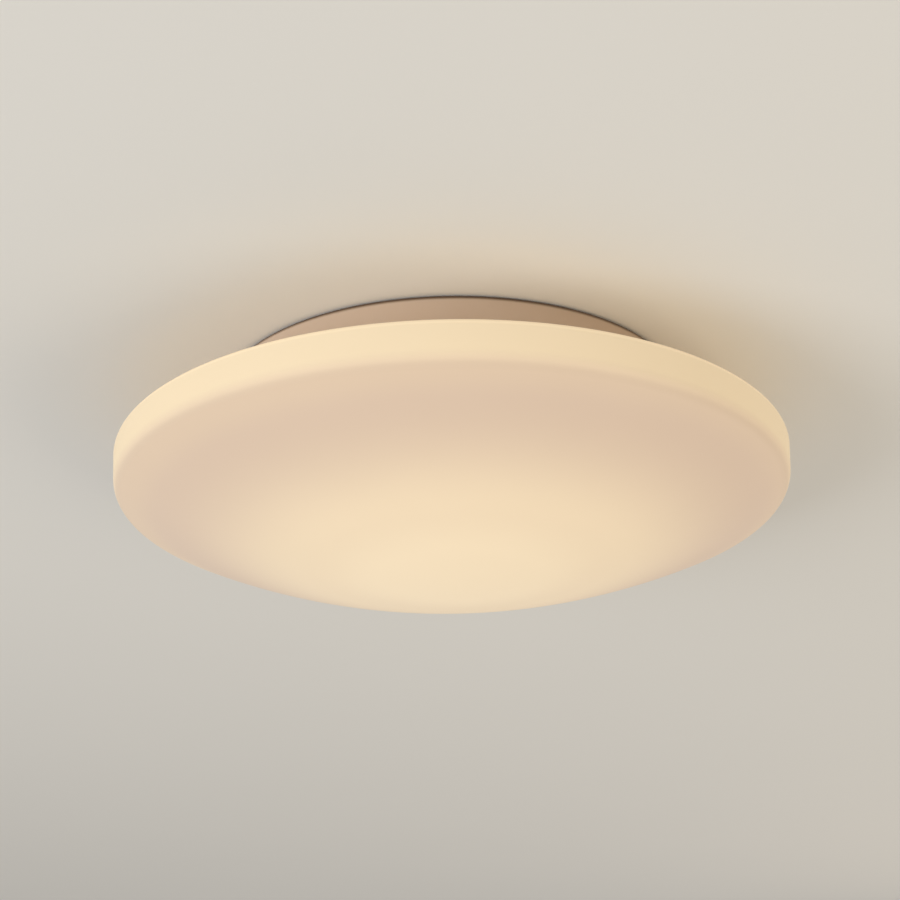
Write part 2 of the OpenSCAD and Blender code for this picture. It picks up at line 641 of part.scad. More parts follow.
module earth_tag() color([0.80, 0.68, 0.35]) translate([earth_at[0], earth_at[1], tag_z]) difference() {
    union() {
        translate([0, 0, -tag_t]) cylinder(r = nut_r + 0.8, h = tag_t, $fn = 32);
        translate([-tag_barrel_r, -nut_r - 3, -tag_t]) cube([2 * tag_barrel_r, nut_r + 3, tag_t]);
        translate([0, -nut_r - 2, -tag_t / 2]) rotate([90, 0, 0])
            cylinder(r = tag_barrel_r, h = tag_barrel_l, $fn = 32);
    }
    translate([0, 0, -tag_t - cut]) cylinder(r = stud_r + slack, h = tag_t + 2 * cut, $fn = 32);
    translate([0, -nut_r - 4, -tag_t / 2]) rotate([90, 0, 0])
        cylinder(r = mains_r + lead_gap, h = tag_barrel_l, $fn = 24);
}

module earth_nut() color([0.78, 0.78, 0.77]) translate(earth_at) nut(tag_z - tag_t, $fn = 32);

module lead_clip() color([0.95, 0.95, 0.93]) difference() {
    size = lead_clip_size;
    translate([lead_clip_at[0], lead_clip_at[1], plate_z - size[2]]) slab(size[0], size[1], size[2], 1.5);
    for (x = lead_clip_x) translate([x, lead_clip_at[1], lead_clip_z]) {
        rotate([90, 0, 0]) cylinder(r = mains_r + lead_gap, h = size[1] + 2 * cut, center = true, $fn = 24);
        translate([-mains_r * 0.7, -size[1] / 2 - cut, -size[2]])
            cube([mains_r * 1.4, size[1] + 2 * cut, size[2]]);
    }
}

module live_lead() color([0.42, 0.22, 0.12]) lead(live_route, mains_r);
module neutral_lead() color([0.12, 0.32, 0.70]) lead(neutral_route, mains_r);
module earth_lead() color([0.55, 0.70, 0.15]) lead(earth_route, mains_r);
module led_lead_red() color([0.75, 0.12, 0.10]) lead(red_route, led_lead_r);
module led_lead_black() color([0.10, 0.10, 0.10]) lead(black_route, led_lead_r);

canopy_pan();
canopy_studs();
tray_pillars();
cable_grommet();
seal_ring();
glass_shade();
led_tray();
tray_nuts();
shade_clips();
clip_rivets();
led_board();
led_packages();
board_connector();
board_screws();
tray_grommet();
driver_case();
driver_cover();
driver_board();
driver_transformer();
driver_capacitors();
driver_nuts();
terminal_body();
terminal_clamps();
lever_live();
lever_neutral();
lever_earth();
terminal_nuts();
earth_tag();
earth_nut();
lead_clip();
live_lead();
neutral_lead();
earth_lead();
led_lead_red();
led_lead_black();
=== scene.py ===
"""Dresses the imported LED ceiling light: opal glass, paint, metal, plastics and leads, on a plain ceiling."""

import math

import bmesh
import bpy
from bpy.props import FloatProperty, FloatVectorProperty, IntProperty, PointerProperty
from mathutils import Euler, Matrix, Vector


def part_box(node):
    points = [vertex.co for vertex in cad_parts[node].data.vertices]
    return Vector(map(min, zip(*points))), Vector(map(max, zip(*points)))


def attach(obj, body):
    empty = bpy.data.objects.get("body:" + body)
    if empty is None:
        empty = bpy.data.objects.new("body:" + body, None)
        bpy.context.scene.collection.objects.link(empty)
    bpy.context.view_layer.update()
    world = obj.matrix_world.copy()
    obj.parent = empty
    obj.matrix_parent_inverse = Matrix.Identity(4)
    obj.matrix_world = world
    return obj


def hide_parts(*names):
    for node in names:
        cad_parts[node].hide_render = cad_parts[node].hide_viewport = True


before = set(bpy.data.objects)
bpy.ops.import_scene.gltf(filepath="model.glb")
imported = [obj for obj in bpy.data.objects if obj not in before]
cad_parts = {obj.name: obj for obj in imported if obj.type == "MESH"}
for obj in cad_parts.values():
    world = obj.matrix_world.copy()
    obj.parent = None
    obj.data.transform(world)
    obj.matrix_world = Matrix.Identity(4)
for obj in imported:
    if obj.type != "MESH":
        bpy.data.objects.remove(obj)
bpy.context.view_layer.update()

bl_info = {
    "name": "Ceiling Light Finishes",
    "version": (1, 0, 0),
    "blender": (4, 5, 0),
    "location": "3D View > Sidebar > Ceiling Light",
    "description": "Dresses a packed LED ceiling light with its glass, paint, metal, plastics and leads",
    "category": "Object",
}

GLASS_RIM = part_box("glass_shade")[1].z
CANOPY_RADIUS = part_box("canopy_pan")[1].x
BOARD_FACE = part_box("led_board")[0].z
MM = 0.001
MERGE_DISTANCE = 1e-6
CORNER_ANGLE = math.radians(32)
FLAT_ANGLE = math.radians(0.4)


def shade(red, green, blue):
    """A colour given in the 0 to 255 steps of a paint card, as the linear values that Blender uses."""
    steps = [value / 255 for value in (red, green, blue)]
    return tuple(v / 12.92 if v <= 0.04045 else ((v + 0.055) / 1.055) ** 2.4 for v in steps)


def length(name, description, default):
    """A property that holds a length in metres."""
    return FloatProperty(
        name=name, description=description, default=default, min=0.0, precision=4, unit="LENGTH"
    )


def colour(name, description, default):
    """A property that holds a colour."""
    return FloatVectorProperty(
        name=name, description=description, default=default, size=3, min=0.0, max=1.0, subtype="COLOR"
    )


def factor(name, description, default, most=1.0):
    """A property that holds a share or a strength."""
    return FloatProperty(
        name=name, description=description, default=default, min=0.0, max=most, subtype="FACTOR"
    )


def power(name, description, default):
    """A property that holds a lamp's power in watts."""
    return FloatProperty(name=name, description=description, default=default, min=0.0, unit="POWER")


# Settings


class GlassSettings(bpy.types.PropertyGroup):
    """Sizes and tones of the glass shade"""

    radius: length("Radius", "Outer radius at the top of the rim wall", 190 * MM)
    wall_height: length("Wall Height", "Height of the rim wall", 22 * MM)
    wall_draft: length("Wall Draft", "How much narrower the rim wall is at its foot", 1.1 * MM)
    dome_depth: length("Dome Depth", "Depth of the dome below the rim wall", 45 * MM)
    thickness: length("Thickness", "Thickness of the glass", 4 * MM)
    corner_radius: length("Corner Radius", "Rounding between rim wall and dome", 8.5 * MM)
    shoulder_radius: length("Shoulder Radius", "Rounding at the top of the rim wall", 3 * MM)
    opening_radius: length("Opening Radius", "Radius of the round opening in the top", 119 * MM)
    steps: IntProperty(name="Steps", description="Number of steps round the axis", default=288, min=24)
    # Painted light as well as the glass's own warm colour: these tones grade the glow of the LEDs inside,
    # brighter in the middle and on the wall and duller near the edge. The glass material puts that glow into
    # its base colour as well as its emission, and Glow Shift moves the painted bright spot to one side.
    middle: colour("Middle", "Tone in the middle of the dome", shade(248, 227, 193))
    inner: colour("Inner Zone", "Tone halfway out on the dome", shade(242, 220, 187))
    outer: colour("Outer Zone", "Tone near the edge of the dome", shade(215, 191, 168))
    edge: colour("Edge", "Tone at the edge of the dome", shade(219, 195, 169))
    wall: colour("Wall", "Tone of the rim wall", shade(234, 213, 179))
    glow: factor("Glow", "Light that comes through the glass", 0.36, 2.0)
    glow_shift: length("Glow Shift", "How far the brightest spot lies to one side of the middle", 4 * MM)
    body: factor("Body", "Share of its tone that the glass shows unlit", 0.68)


class CanopySettings(bpy.types.PropertyGroup):
    """Finish of the canopy, its ring and the grommets"""

    # Painted shade and painted warm light: the canopy's white paint is given darker and warmer, as it looks in
    # the shade of the glass and in the lamp's own glow.
    paint: colour("Paint", "Colour of the canopy's paint", shade(192, 168, 146))
    bend: length("Top Bend", "Outer radius of the bend round the canopy's top", 3 * MM)
    # Painted shadow: the dark line on the canopy's top bend stands for the shade in the gap against the
    # ceiling.
    grime: colour("Grime", "Colour of the line where the canopy meets the ceiling", shade(92, 66, 42))
    sheet: length("Sheet", "Thickness of the sheet of canopy and tray", 1 * MM)
    cable_bore: length("Cable Bore", "Radius of the bore for the house cable", 5 * MM)
    lead_bore: length("Lead Bore", "Radius of the bore for the LED leads", 3.6 * MM)
    seal_width: length("Seal Width", "Width of the ring on the canopy's foot", 5 * MM)
    seal: colour("Seal", "Colour of the ring on the canopy's foot", shade(186, 170, 150))
    rubber: colour("Rubber", "Colour of the grommets", shade(38, 37, 36))


class TraySettings(bpy.types.PropertyGroup):
    """Finish of the tray and its springs"""

    enamel: colour("Enamel", "Colour of the tray's paint", shade(236, 235, 230))
    spring: colour("Spring Steel", "Colour of the glass springs", shade(196, 196, 194))
    rivet_radius: length("Rivet Radius", "Radius of the rivet shanks", 1.25 * MM)


class BoardSettings(bpy.types.PropertyGroup):
    """Sizes and finish of the LED board"""

    package_length: length("Package Length", "Length of one LED package", 3.5 * MM)
    package_width: length("Package Width", "Width of one LED package", 2.8 * MM)
    package_height: length("Package Height", "Height of one LED package", 0.7 * MM)
    first_ring: length("First Ring", "Radius of the innermost ring of LEDs", 24 * MM)
    ring_step: length("Ring Step", "Distance from ring to ring", 18 * MM)
    mask: colour("Solder Mask", "Colour of the board's face", shade(240, 240, 236))
    phosphor: colour("Phosphor", "Colour of the LED faces", shade(246, 210, 96))
    glow: factor("Glow", "Light of the LED faces", 0.5, 10.0)


class WiringSettings(bpy.types.PropertyGroup):
    """Sizes and finish of the leads, the driver and the terminal block"""

    mains_radius: length("Mains Lead Radius", "Radius of a mains lead", 1.3 * MM)
    led_radius: length("LED Lead Radius", "Radius of an LED lead", 0.8 * MM)
    housing: colour("Housing", "Colour of the driver's case", shade(238, 237, 232))
    block: colour("Terminal Block", "Colour of the terminal block", shade(214, 212, 204))
    lever: colour("Levers", "Colour of the levers", shade(226, 112, 34))


class FastenerSettings(bpy.types.PropertyGroup):
    """Sizes of studs and nuts"""

    stud_radius: length("Stud Radius", "Radius of the studs", 2 * MM)
    pitch: length("Thread Pitch", "Pitch of the studs' thread", 0.7 * MM)
    depth: length("Thread Depth", "Depth of that thread", 0.3 * MM)
    nut_radius: length("Nut Radius", "Radius of a nut over its corners", 3.5 * MM)
    nut_height: length("Nut Height", "Height of a nut", 3.2 * MM)
    zinc: colour("Zinc", "Colour of the plating", shade(202, 203, 204))


class StageSettings(bpy.types.PropertyGroup):
    """Ceiling, lamps and surroundings"""

    ceiling: colour("Ceiling", "Colour of the ceiling", shade(224, 222, 217))
    key: power("Key Lamp", "Power of the main lamp", 19.8)
    fill: power("Fill Lamp", "Power of the second lamp", 13.4)
    rear: power("Rear Lamp", "Power of the lamp behind", 3.0)
    upper: power("Upper Lamp", "Power of the lamp above the ceiling", 15.0)
    around: factor("Surroundings", "Brightness of the surroundings", 0.55, 10.0)


class CeilingLightSettings(bpy.types.PropertyGroup):
    """All settings of the light and its stage"""

    glass: PointerProperty(type=GlassSettings)
    canopy: PointerProperty(type=CanopySettings)
    tray: PointerProperty(type=TraySettings)
    board: PointerProperty(type=BoardSettings)
    wiring: PointerProperty(type=WiringSettings)
    fasteners: PointerProperty(type=FastenerSettings)
    stage: PointerProperty(type=StageSettings)


# Nodes


def add(tree, kind, inputs=None, **settings):
    """Adds a node, sets its properties and fills its inputs with values or links."""
    node = tree.nodes.new(kind)
    for name, value in settings.items():
        setattr(node, name, value)
    for key, value in (inputs or {}).items():
        if isinstance(value, bpy.types.NodeSocket):
            tree.links.new(value, node.inputs[key])
        else:
            node.inputs[key].default_value = value
    return node


def maths(tree, operation, *values):
    """The result of a Math node."""
    return add(tree, "ShaderNodeMath", dict(enumerate(values)), operation=operation).outputs[0]


def product(tree, value, *others):
    """The product of several values."""
    for other in others:
        value = maths(tree, "MULTIPLY", value, other)
    return value


def remap(tree, value, start, end, low=0.0, high=1.0, smooth=False):
    """A value's way from start to end, turned into a way from low to high."""
    return add(tree, "ShaderNodeMapRange", {
        "Value": value, "From Min": start, "From Max": end, "To Min": low, "To Max": high
    }, interpolation_type="SMOOTHSTEP" if smooth else "LINEAR").outputs[0]


def noise(tree, vector, scale, detail, roughness=0.5):
    """The value of a noise at a scale."""
    return add(tree, "ShaderNodeTexNoise", {
        "Vector": vector, "Scale": scale, "Detail": detail, "Roughness": roughness
    }).outputs[0]


def parts_of(tree, vector):
    """The X, Y and Z of a vector."""
    return add(tree, "ShaderNodeSeparateXYZ", {0: vector}).outputs


def reach(tree, x, y):
    """How far a point of two coordinates lies from the origin."""
    flat = add(tree, "ShaderNodeCombineXYZ", {"X": x, "Y": y, "Z": 0.0}).outputs[0]
    return add(tree, "ShaderNodeVectorMath", {0: flat}, operation="LENGTH").outputs["Value"]


def scaled(tree, vector, scale):
    """A vector or colour times a value."""
    return add(tree, "ShaderNodeVectorMath", {0: vector, "Scale": scale}, operation="SCALE").outputs[0]


def bump(tree, height, distance, strength, **under):
    """A normal that shows a height, over an earlier Normal where one is given."""
    return add(tree, "ShaderNodeBump", {
        "Height": height, "Distance": distance, "Strength": strength, **under
    }).outputs[0]


def blended(tree, mask, first, second):
    """The colour between two colours."""
    tones = {
        slot: value if isinstance(value, bpy.types.NodeSocket) else (*value[:3], 1.0)
        for slot, value in ((6, first), (7, second))
    }
    return add(tree, "ShaderNodeMix", {0: mask, **tones}, data_type="RGBA").outputs[2]


def new_group(name, kind, inputs, outputs):
    """A node group with the given sockets, and its inner input and output nodes."""
    tree = bpy.data.node_groups.new(name, kind)
    for label, socket, default in inputs:
        made = tree.interface.new_socket(label, in_out="INPUT", socket_type="NodeSocket" + socket)
        if default is not None:
            made.default_value = default
    for label, socket in outputs:
        tree.interface.new_socket(label, in_out="OUTPUT", socket_type="NodeSocket" + socket)
    return tree, tree.nodes.new("NodeGroupInput").outputs, tree.nodes.new("NodeGroupOutput").inputs


def deliver(tree, result, *values):
    """Links values to the outputs of a group, in their order, and hands the group back."""
    for value, socket in zip(values, result):
        tree.links.new(value, socket)
    return tree


def shared(build):
    """The node group that a function builds, built once and named after it."""
    name = build.__name__.replace("_", " ").title().replace(" On ", " on ")
    return bpy.data.node_groups.get(name) or build(name)


# Geometry trees

SHAPE = ("Geometry", "Geometry", None)
FINISH = [
    ("Sharp Angle", "Float", math.radians(35)),
    ("Places", "Object", None),
    ("Material", "Material", None),
]


def smoothed(tree, geometry, sharp_angle):
    """The geometry shaded smooth, but for its edges sharper than the angle."""
    smooth = add(tree, "GeometryNodeSetShadeSmooth", {
        "Geometry": geometry, "Shade Smooth": True
    }, domain="FACE").outputs[0]
    angle = add(tree, "GeometryNodeInputMeshEdgeAngle").outputs["Unsigned Angle"]
    sharp = maths(tree, "GREATER_THAN", angle, sharp_angle)
    return add(tree, "GeometryNodeSetShadeSmooth", {
        "Geometry": smooth, "Selection": sharp, "Shade Smooth": False
    }, domain="EDGE").outputs[0]


def placed(tree, shape, given, result):
    """Ends a tree with smooth copies of a shape at the points of the places object, in their material."""
    points = add(tree, "GeometryNodeObjectInfo", {"Object": given["Places"]}).outputs["Geometry"]
    turn = add(tree, "GeometryNodeInputNamedAttribute", {"Name": "turn"}, data_type="FLOAT_VECTOR")
    rotation = add(tree, "FunctionNodeEulerToRotation", {"Euler": turn.outputs["Attribute"]}).outputs[0]
    copies = add(tree, "GeometryNodeInstanceOnPoints", {
        "Points": points, "Instance": smoothed(tree, shape, given["Sharp Angle"]), "Rotation": rotation
    }).outputs[0]
    real = add(tree, "GeometryNodeRealizeInstances", {"Geometry": copies}).outputs[0]
    plain = add(tree, "GeometryNodeRemoveAttribute", {"Geometry": real, "Name": "turn"}).outputs[0]
    return deliver(tree, result, in_material(tree, plain, given))


def in_material(tree, geometry, given):
    """The geometry in the material that the tree is given."""
    return add(tree, "GeometryNodeSetMaterial", {
        "Geometry": geometry, "Material": given["Material"]
    }).outputs[0]


def turned_form(name):
    """Turns a half section about the Z axis, cuts a thread between two heights and sets it on its places."""
    tree, given, result = new_group(name, "GeometryNodeTree", [
        SHAPE,
        ("Steps", "Int", 48),
        ("Thread Pitch", "Float", 0.7 * MM),
        ("Thread Depth", "Float", 0.0),
        ("Thread Foot", "Float", 0.0),
        ("Thread Top", "Float", 0.0),
        *FINISH,
    ], [SHAPE[:2]])
    section = given["Geometry"]
    count = add(tree, "GeometryNodeAttributeDomainSize", {"Geometry": section}).outputs["Point Count"]
    columns = maths(tree, "ADD", given["Steps"], 1.0)
    grid = add(tree, "GeometryNodeMeshGrid", {"Vertices X": columns, "Vertices Y": count}).outputs["Mesh"]
    index = add(tree, "GeometryNodeInputIndex").outputs[0]
    column = maths(tree, "FLOOR", maths(tree, "DIVIDE", index, count))
    share = maths(tree, "DIVIDE", column, given["Steps"])
    sample = add(tree, "GeometryNodeSampleIndex", {
        "Geometry": section, "Index": maths(tree, "MODULO", index, count)
    }, data_type="FLOAT_VECTOR")
    tree.links.new(add(tree, "GeometryNodeInputPosition").outputs[0], sample.inputs["Value"])
    place = parts_of(tree, sample.outputs[0])
    climb = maths(tree, "SUBTRACT", maths(tree, "DIVIDE", place["Z"], given["Thread Pitch"]), share)
    groove = product(tree, maths(tree, "PINGPONG", climb, 0.5), 2.0, given["Thread Depth"],
        maths(tree, "GREATER_THAN", place["Z"], given["Thread Foot"]),
        maths(tree, "LESS_THAN", place["Z"], given["Thread Top"]))
    radius = maths(tree, "SUBTRACT", place["X"], groove)
    angle = product(tree, share, math.tau)
    turned_place = add(tree, "ShaderNodeCombineXYZ", {
        "X": product(tree, radius, maths(tree, "COSINE", angle)),
        "Y": product(tree, radius, maths(tree, "SINE", angle)),
        "Z": place["Z"],
    }).outputs[0]
    moved = add(tree, "GeometryNodeSetPosition", {"Geometry": grid, "Position": turned_place}).outputs[0]
    merged = add(tree, "GeometryNodeMergeByDistance", {"Geometry": moved, "Distance": MERGE_DISTANCE})
    return placed(tree, merged.outputs[0], given, result)


def shape_on_places(name):
    """Sets a shape on its places, at a given scale."""
    tree, given, result = new_group(name, "GeometryNodeTree", [
        SHAPE, ("Size", "Vector", (1.0, 1.0, 1.0)), *FINISH
    ], [SHAPE[:2]])
    sized = add(tree, "GeometryNodeTransform", {"Geometry": given["Geometry"], "Scale": given["Size"]})
    return placed(tree, sized.outputs[0], given, result)


def lead_on_route(name):
    """Runs a round lead along a route, and keeps its points' direction round the lead and way along it."""
    tree, given, result = new_group(name, "GeometryNodeTree", [
        SHAPE,
        ("Radius", "Float", 1.0 * MM),
        ("Sides", "Int", 16),
        ("Ring Distance", "Float", 1.2 * MM),
        ("Sharp Angle", "Float", math.radians(40)),
        ("Material", "Material", None),
    ], [SHAPE[:2]])
    path = add(tree, "GeometryNodeMeshToCurve", {"Mesh": given["Geometry"]}).outputs[0]
    curved = add(tree, "GeometryNodeCurveSplineType", {"Curve": path}, spline_type="CATMULL_ROM").outputs[0]
    even = add(tree, "GeometryNodeResampleCurve", {
        "Curve": curved, "Length": given["Ring Distance"]
    }, mode="LENGTH").outputs[0]
    way = add(tree, "GeometryNodeStoreNamedAttribute", {
        "Geometry": even, "Name": "way", "Value": add(tree, "GeometryNodeSplineParameter").outputs["Length"]
    }, data_type="FLOAT", domain="POINT").outputs[0]
    ring = add(tree, "GeometryNodeCurvePrimitiveCircle", {
        "Resolution": given["Sides"], "Radius": given["Radius"]
    }).outputs["Curve"]
    side = add(tree, "GeometryNodeStoreNamedAttribute", {
        "Geometry": ring, "Name": "round"
    }, data_type="FLOAT_VECTOR", domain="POINT")
    tree.links.new(add(tree, "GeometryNodeInputPosition").outputs[0], side.inputs["Value"])
    tube = add(tree, "GeometryNodeCurveToMesh", {
        "Curve": way, "Profile Curve": side.outputs[0], "Fill Caps": True
    }).outputs[0]
    real = add(tree, "GeometryNodeRealizeInstances", {
        "Geometry": smoothed(tree, tube, given["Sharp Angle"])
    }).outputs[0]
    return deliver(tree, result, in_material(tree, real, given))


# Making and seating pieces


def put(name, data):
    """A new object in the scene."""
    made = bpy.data.objects.new(name, data)
    bpy.context.scene.collection.objects.link(made)
    return made


def solved(name, mesh, tree, **values):
    """The plain object that a Geometry Nodes tree makes of a base mesh."""
    piece = put(name, mesh)
    modifier = piece.modifiers.new(tree.name, "NODES")
    modifier.node_group = tree
    for item in tree.interface.items_tree:
        key = item.name.replace(" ", "_").lower()
        if item.in_out == "INPUT" and key in values:
            modifier[item.identifier] = values[key]
    return made_plain(piece)


def made_plain(piece):
    """The object with the result of its modifiers as its own mesh."""
    graph = bpy.context.evaluated_depsgraph_get()
    piece.data = bpy.data.meshes.new_from_object(
        piece.evaluated_get(graph), preserve_all_data_layers=True, depsgraph=graph
    )
    piece.modifiers.clear()
    piece.data.name = piece.name
    return piece


def reshaped(mesh, *operations):
    """Runs mesh operations, each a function of the bmesh, on a mesh."""
    shape = bmesh.new()
    shape.from_mesh(mesh)
    for operation in operations:
        operation(shape)
    shape.to_mesh(mesh)
    shape.free()
    return mesh


def outwards(shape):
    """Turns the faces of a closed shape outwards."""
    bmesh.ops.recalc_face_normals(shape, faces=shape.faces)


def without_doubles(shape):
    """Merges points in one place and takes out empty faces."""
    bmesh.ops.remove_doubles(shape, verts=shape.verts, dist=MERGE_DISTANCE)
    bmesh.ops.dissolve_degenerate(shape, dist=MERGE_DISTANCE, edges=shape.edges)


def without_flat_edges(shape):
    """Takes out the edges inside flat faces."""
    bmesh.ops.dissolve_limit(shape, angle_limit=FLAT_ANGLE, verts=shape.verts, edges=shape.edges)


def new_mesh(name, points, faces=(), edges=()):
    """A mesh from points and faces, with its normals pointing outwards where it is closed."""
    mesh = bpy.data.meshes.new(name)
    mesh.from_pydata([tuple(p) for p in points], list(edges), list(faces))
    return reshaped(mesh, outwards) if faces else mesh


def path_mesh(name, points):
    """A mesh of points joined in a row."""
    return new_mesh(name, points, edges=[(i, i + 1) for i in range(len(points) - 1)])


def on_circle(radius, turn, *height):
    """A point on a circle round the axis, at a turn in radians, with its height where one is given."""
    return (radius * math.cos(turn), radius * math.sin(turn), *height)


def places(points, turns=None):
    """An object whose points are places for copies, each with its turn."""
    mesh = new_mesh("places", points)
    turn = mesh.attributes.new("turn", "FLOAT_VECTOR", "POINT")
    turn.data.foreach_set("vector", [value for t in (turns or [(0, 0, 0)] * len(points)) for value in t])
    return put("places", mesh)


def ring_places(angles, radius, height):
    """Places on a circle at angles in degrees, each turned to face away from the axis."""
    turns = [math.radians(angle) for angle in angles]
    return places([on_circle(radius, t, height) for t in turns], [(0.0, 0.0, t) for t in turns])


def turned(name, section, material, spots=None, steps=48, **values):
    """A piece turned from a half section of radius and height points, on each of its places."""
    mesh = path_mesh(name, [(r, 0, z) for r, z in section])
    spots = spots or places([(0, 0, 0)])
    piece = solved(name, mesh, shared(turned_form), steps=steps, places=spots, material=material, **values)
    bpy.data.objects.remove(spots)
    return piece


def copied(name, mesh, material, spots):
    """A piece made of one shape on each of its places."""
    piece = solved(name, mesh, shared(shape_on_places), places=spots, material=material)
    bpy.data.objects.remove(spots)
    return piece


def joined(name, pieces):
    """One piece made of several."""
    with bpy.context.temp_override(active_object=pieces[0], selected_editable_objects=pieces):
        bpy.ops.object.join()
    pieces[0].name = name
    pieces[0].data.name = name
    return pieces[0]


def refined(node, name, material, width, segments=2):
    """A copy of a CAD node with its edges rounded."""
    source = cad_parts[node].data
    mesh = bpy.data.meshes.new(name)
    mesh.from_pydata([v.co for v in source.vertices], [], [p.vertices[:] for p in source.polygons])
    mesh.materials.append(material)
    piece = put(name, reshaped(mesh, without_doubles, without_flat_edges))
    bevel = piece.modifiers.new("Rounded Edges", "BEVEL")
    bevel.width, bevel.segments = width, segments
    bevel.limit_method, bevel.angle_limit = "ANGLE", CORNER_ANGLE
    made_plain(piece)
    reshaped(piece.data, without_doubles)
    piece.data.shade_smooth()
    piece.data.set_sharp_from_angle(angle=CORNER_ANGLE)
    return piece


def cut_away(piece, mesh):
    """Cuts the shape of a mesh out of a piece."""
    cutter = put(mesh.name, mesh)
    tool = piece.modifiers.new("Cut", "BOOLEAN")
    tool.operation, tool.solver, tool.object = "DIFFERENCE", "EXACT", cutter
    made_plain(piece)
    reshaped(piece.data, without_doubles)
    bpy.data.objects.remove(cutter)


def seat(piece, body, slot, *nodes):
    """Seats a piece on its body in place of CAD nodes, and hides those nodes; the slot is not used."""
    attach(piece, body)
    if nodes:
        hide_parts(*nodes)


def seat_refined(node, name, material, width, slot, body="root", segments=2):
    """Seats a copy of a CAD node with rounded edges in place of that node."""
    seat(refined(node, name, material, width, segments), body, slot, node)


def dress(node, material):
    """Gives a CAD node that stays its material."""
    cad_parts[node].material_slots[0].material = material


# Sections and outlines


def arc(centre, radius, start, end, steps, skip=0):
    """Points on an arc in the plane of radius and height, from one angle in degrees to another."""
    turns = [math.radians(start + (end - start) * k / steps) for k in range(skip, steps + 1)]
    return [(centre[0] + radius * math.cos(t), centre[1] + radius * math.sin(t)) for t in turns]


def rounded_section(corners):
    """A closed half section from corners of radius, height and rounding."""
    section, steps = [], 4
    for index, (r, z, rounding) in enumerate(corners):
        here = Vector((r, z))
        back = (Vector(corners[index - 1][:2]) - here).normalized()
        ahead = (Vector(corners[(index + 1) % len(corners)][:2]) - here).normalized()
        half = back.angle(ahead) / 2
        centre = here + (back + ahead).normalized() * rounding / math.sin(half)
        start = here + back * rounding / math.tan(half) - centre
        sweep = start.angle_signed(here + ahead * rounding / math.tan(half) - centre)
        for k in range(steps + 1):
            section.append(tuple(centre + Matrix.Rotation(-sweep * k / steps, 2) @ start))
    return [*section, section[0]]


def rectangle(half_x, half_y, x=0.0, y=0.0):
    """The corners of a rectangle round a point, counter-clockwise."""
    return [(x + sx * half_x, y + sy * half_y) for sx, sy in ((1, 1), (-1, 1), (-1, -1), (1, -1))]


def rounded_loop(half_x, half_y, corner, steps=3):
    """Points of a rectangle with rounded corners, counter-clockwise."""
    loop = []
    for quarter, centre in enumerate(rectangle(half_x - corner, half_y - corner)):
        loop += arc(centre, corner, 90 * quarter, 90 * quarter + 90, steps)
    return loop


def lofted(name, rings):
    """A closed mesh through rings of points at given heights."""
    count = len(rings[0][0])
    points = [(x, y, z) for loop, z in rings for x, y in loop]
    faces = [
        (a + i, a + (i + 1) % count, a + count + (i + 1) % count, a + count + i)
        for a in range(0, (len(rings) - 1) * count, count) for i in range(count)
    ]
    faces += [tuple(range(count))[::-1], tuple(range((len(rings) - 1) * count, len(rings) * count))]
    return new_mesh(name, points, faces)


# Patterns and materials


def pattern_group(name, cloud, grain, low, high):
    """An empty pattern: clouds of tone, a roughness between two limits, and the height of a grain."""
    return new_group(name, "ShaderNodeTree", [
        ("Vector", "Vector", None),
        ("Cloud Scale", "Float", cloud),
        ("Grain Scale", "Float", grain),
        ("Low", "Float", low),
        ("High", "Float", high),
    ], [("Cloud", "Float"), ("Roughness", "Float"), ("Height", "Float")])


def weighed(tree, first, second, share):
    """The sum of two values, of which the first has a share."""
    return maths(tree, "ADD", product(tree, first, share), product(tree, second, 1 - share))


def grained_surface(name):
    """Clouds of tone and roughness over a fine grain, as on paint, plastic and rubber."""
    tree, given, result = pattern_group(name, 20.0, 1500.0, 0.4, 0.5)
    cloud = remap(tree, noise(tree, given["Vector"], given["Cloud Scale"], 4.0, 0.55), 0.3, 0.7)
    grain = noise(tree, given["Vector"], given["Grain Scale"], 2.0, 0.6)
    rough = remap(tree, weighed(tree, cloud, grain, 0.7), 0.0, 1.0, given["Low"], given["High"])
    return deliver(tree, result, cloud, rough, grain)


def brushed_metal(name):
    """Fine lines along one axis, with a slow change of tone, as on drawn or ground metal."""
    tree, given, result = pattern_group(name, 60.0, 4000.0, 0.25, 0.4)
    stretch = add(tree, "ShaderNodeMapping", {
        "Vector": given["Vector"], "Scale": (1.0, 1.0, 0.03)
    }).outputs[0]
    lines = noise(tree, stretch, given["Grain Scale"], 3.0, 0.7)
    cloud = noise(tree, given["Vector"], given["Cloud Scale"], 3.0)
    rough = remap(tree, weighed(tree, cloud, lines, 0.5), 0.3, 0.7, given["Low"], given["High"])
    return deliver(tree, result, cloud, rough, lines)


def zinc_plating(name):
    """Small crystals of slightly different tone, as on plated steel."""
    tree, given, result = pattern_group(name, 900.0, 5000.0, 0.28, 0.42)
    crystals = add(tree, "ShaderNodeTexVoronoi", {"Vector": given["Vector"], "Scale": given["Cloud Scale"]})
    tone = parts_of(tree, crystals.outputs["Color"])["X"]
    grain = noise(tree, given["Vector"], given["Grain Scale"], 2.0)
    rough = remap(tree, tone, 0.0, 1.0, given["Low"], given["High"])
    return deliver(tree, result, tone, rough, grain)


def settled_dust(name):
    """A colour with a thin patchy film of dust over it."""
    tree, given, result = new_group(name, "ShaderNodeTree", [
        ("Vector", "Vector", None),
        ("Color", "Color", (0.8, 0.8, 0.8, 1.0)),
        ("Dust", "Color", (0.55, 0.5, 0.43, 1.0)),
        ("Amount", "Float", 0.08),
    ], [("Color", "Color")])
    patches = remap(tree, noise(tree, given["Vector"], 45.0, 8.0, 0.75), 0.42, 0.75)
    film = product(tree, patches, given["Amount"])
    return deliver(tree, result, blended(tree, film, given["Color"], given["Dust"]))


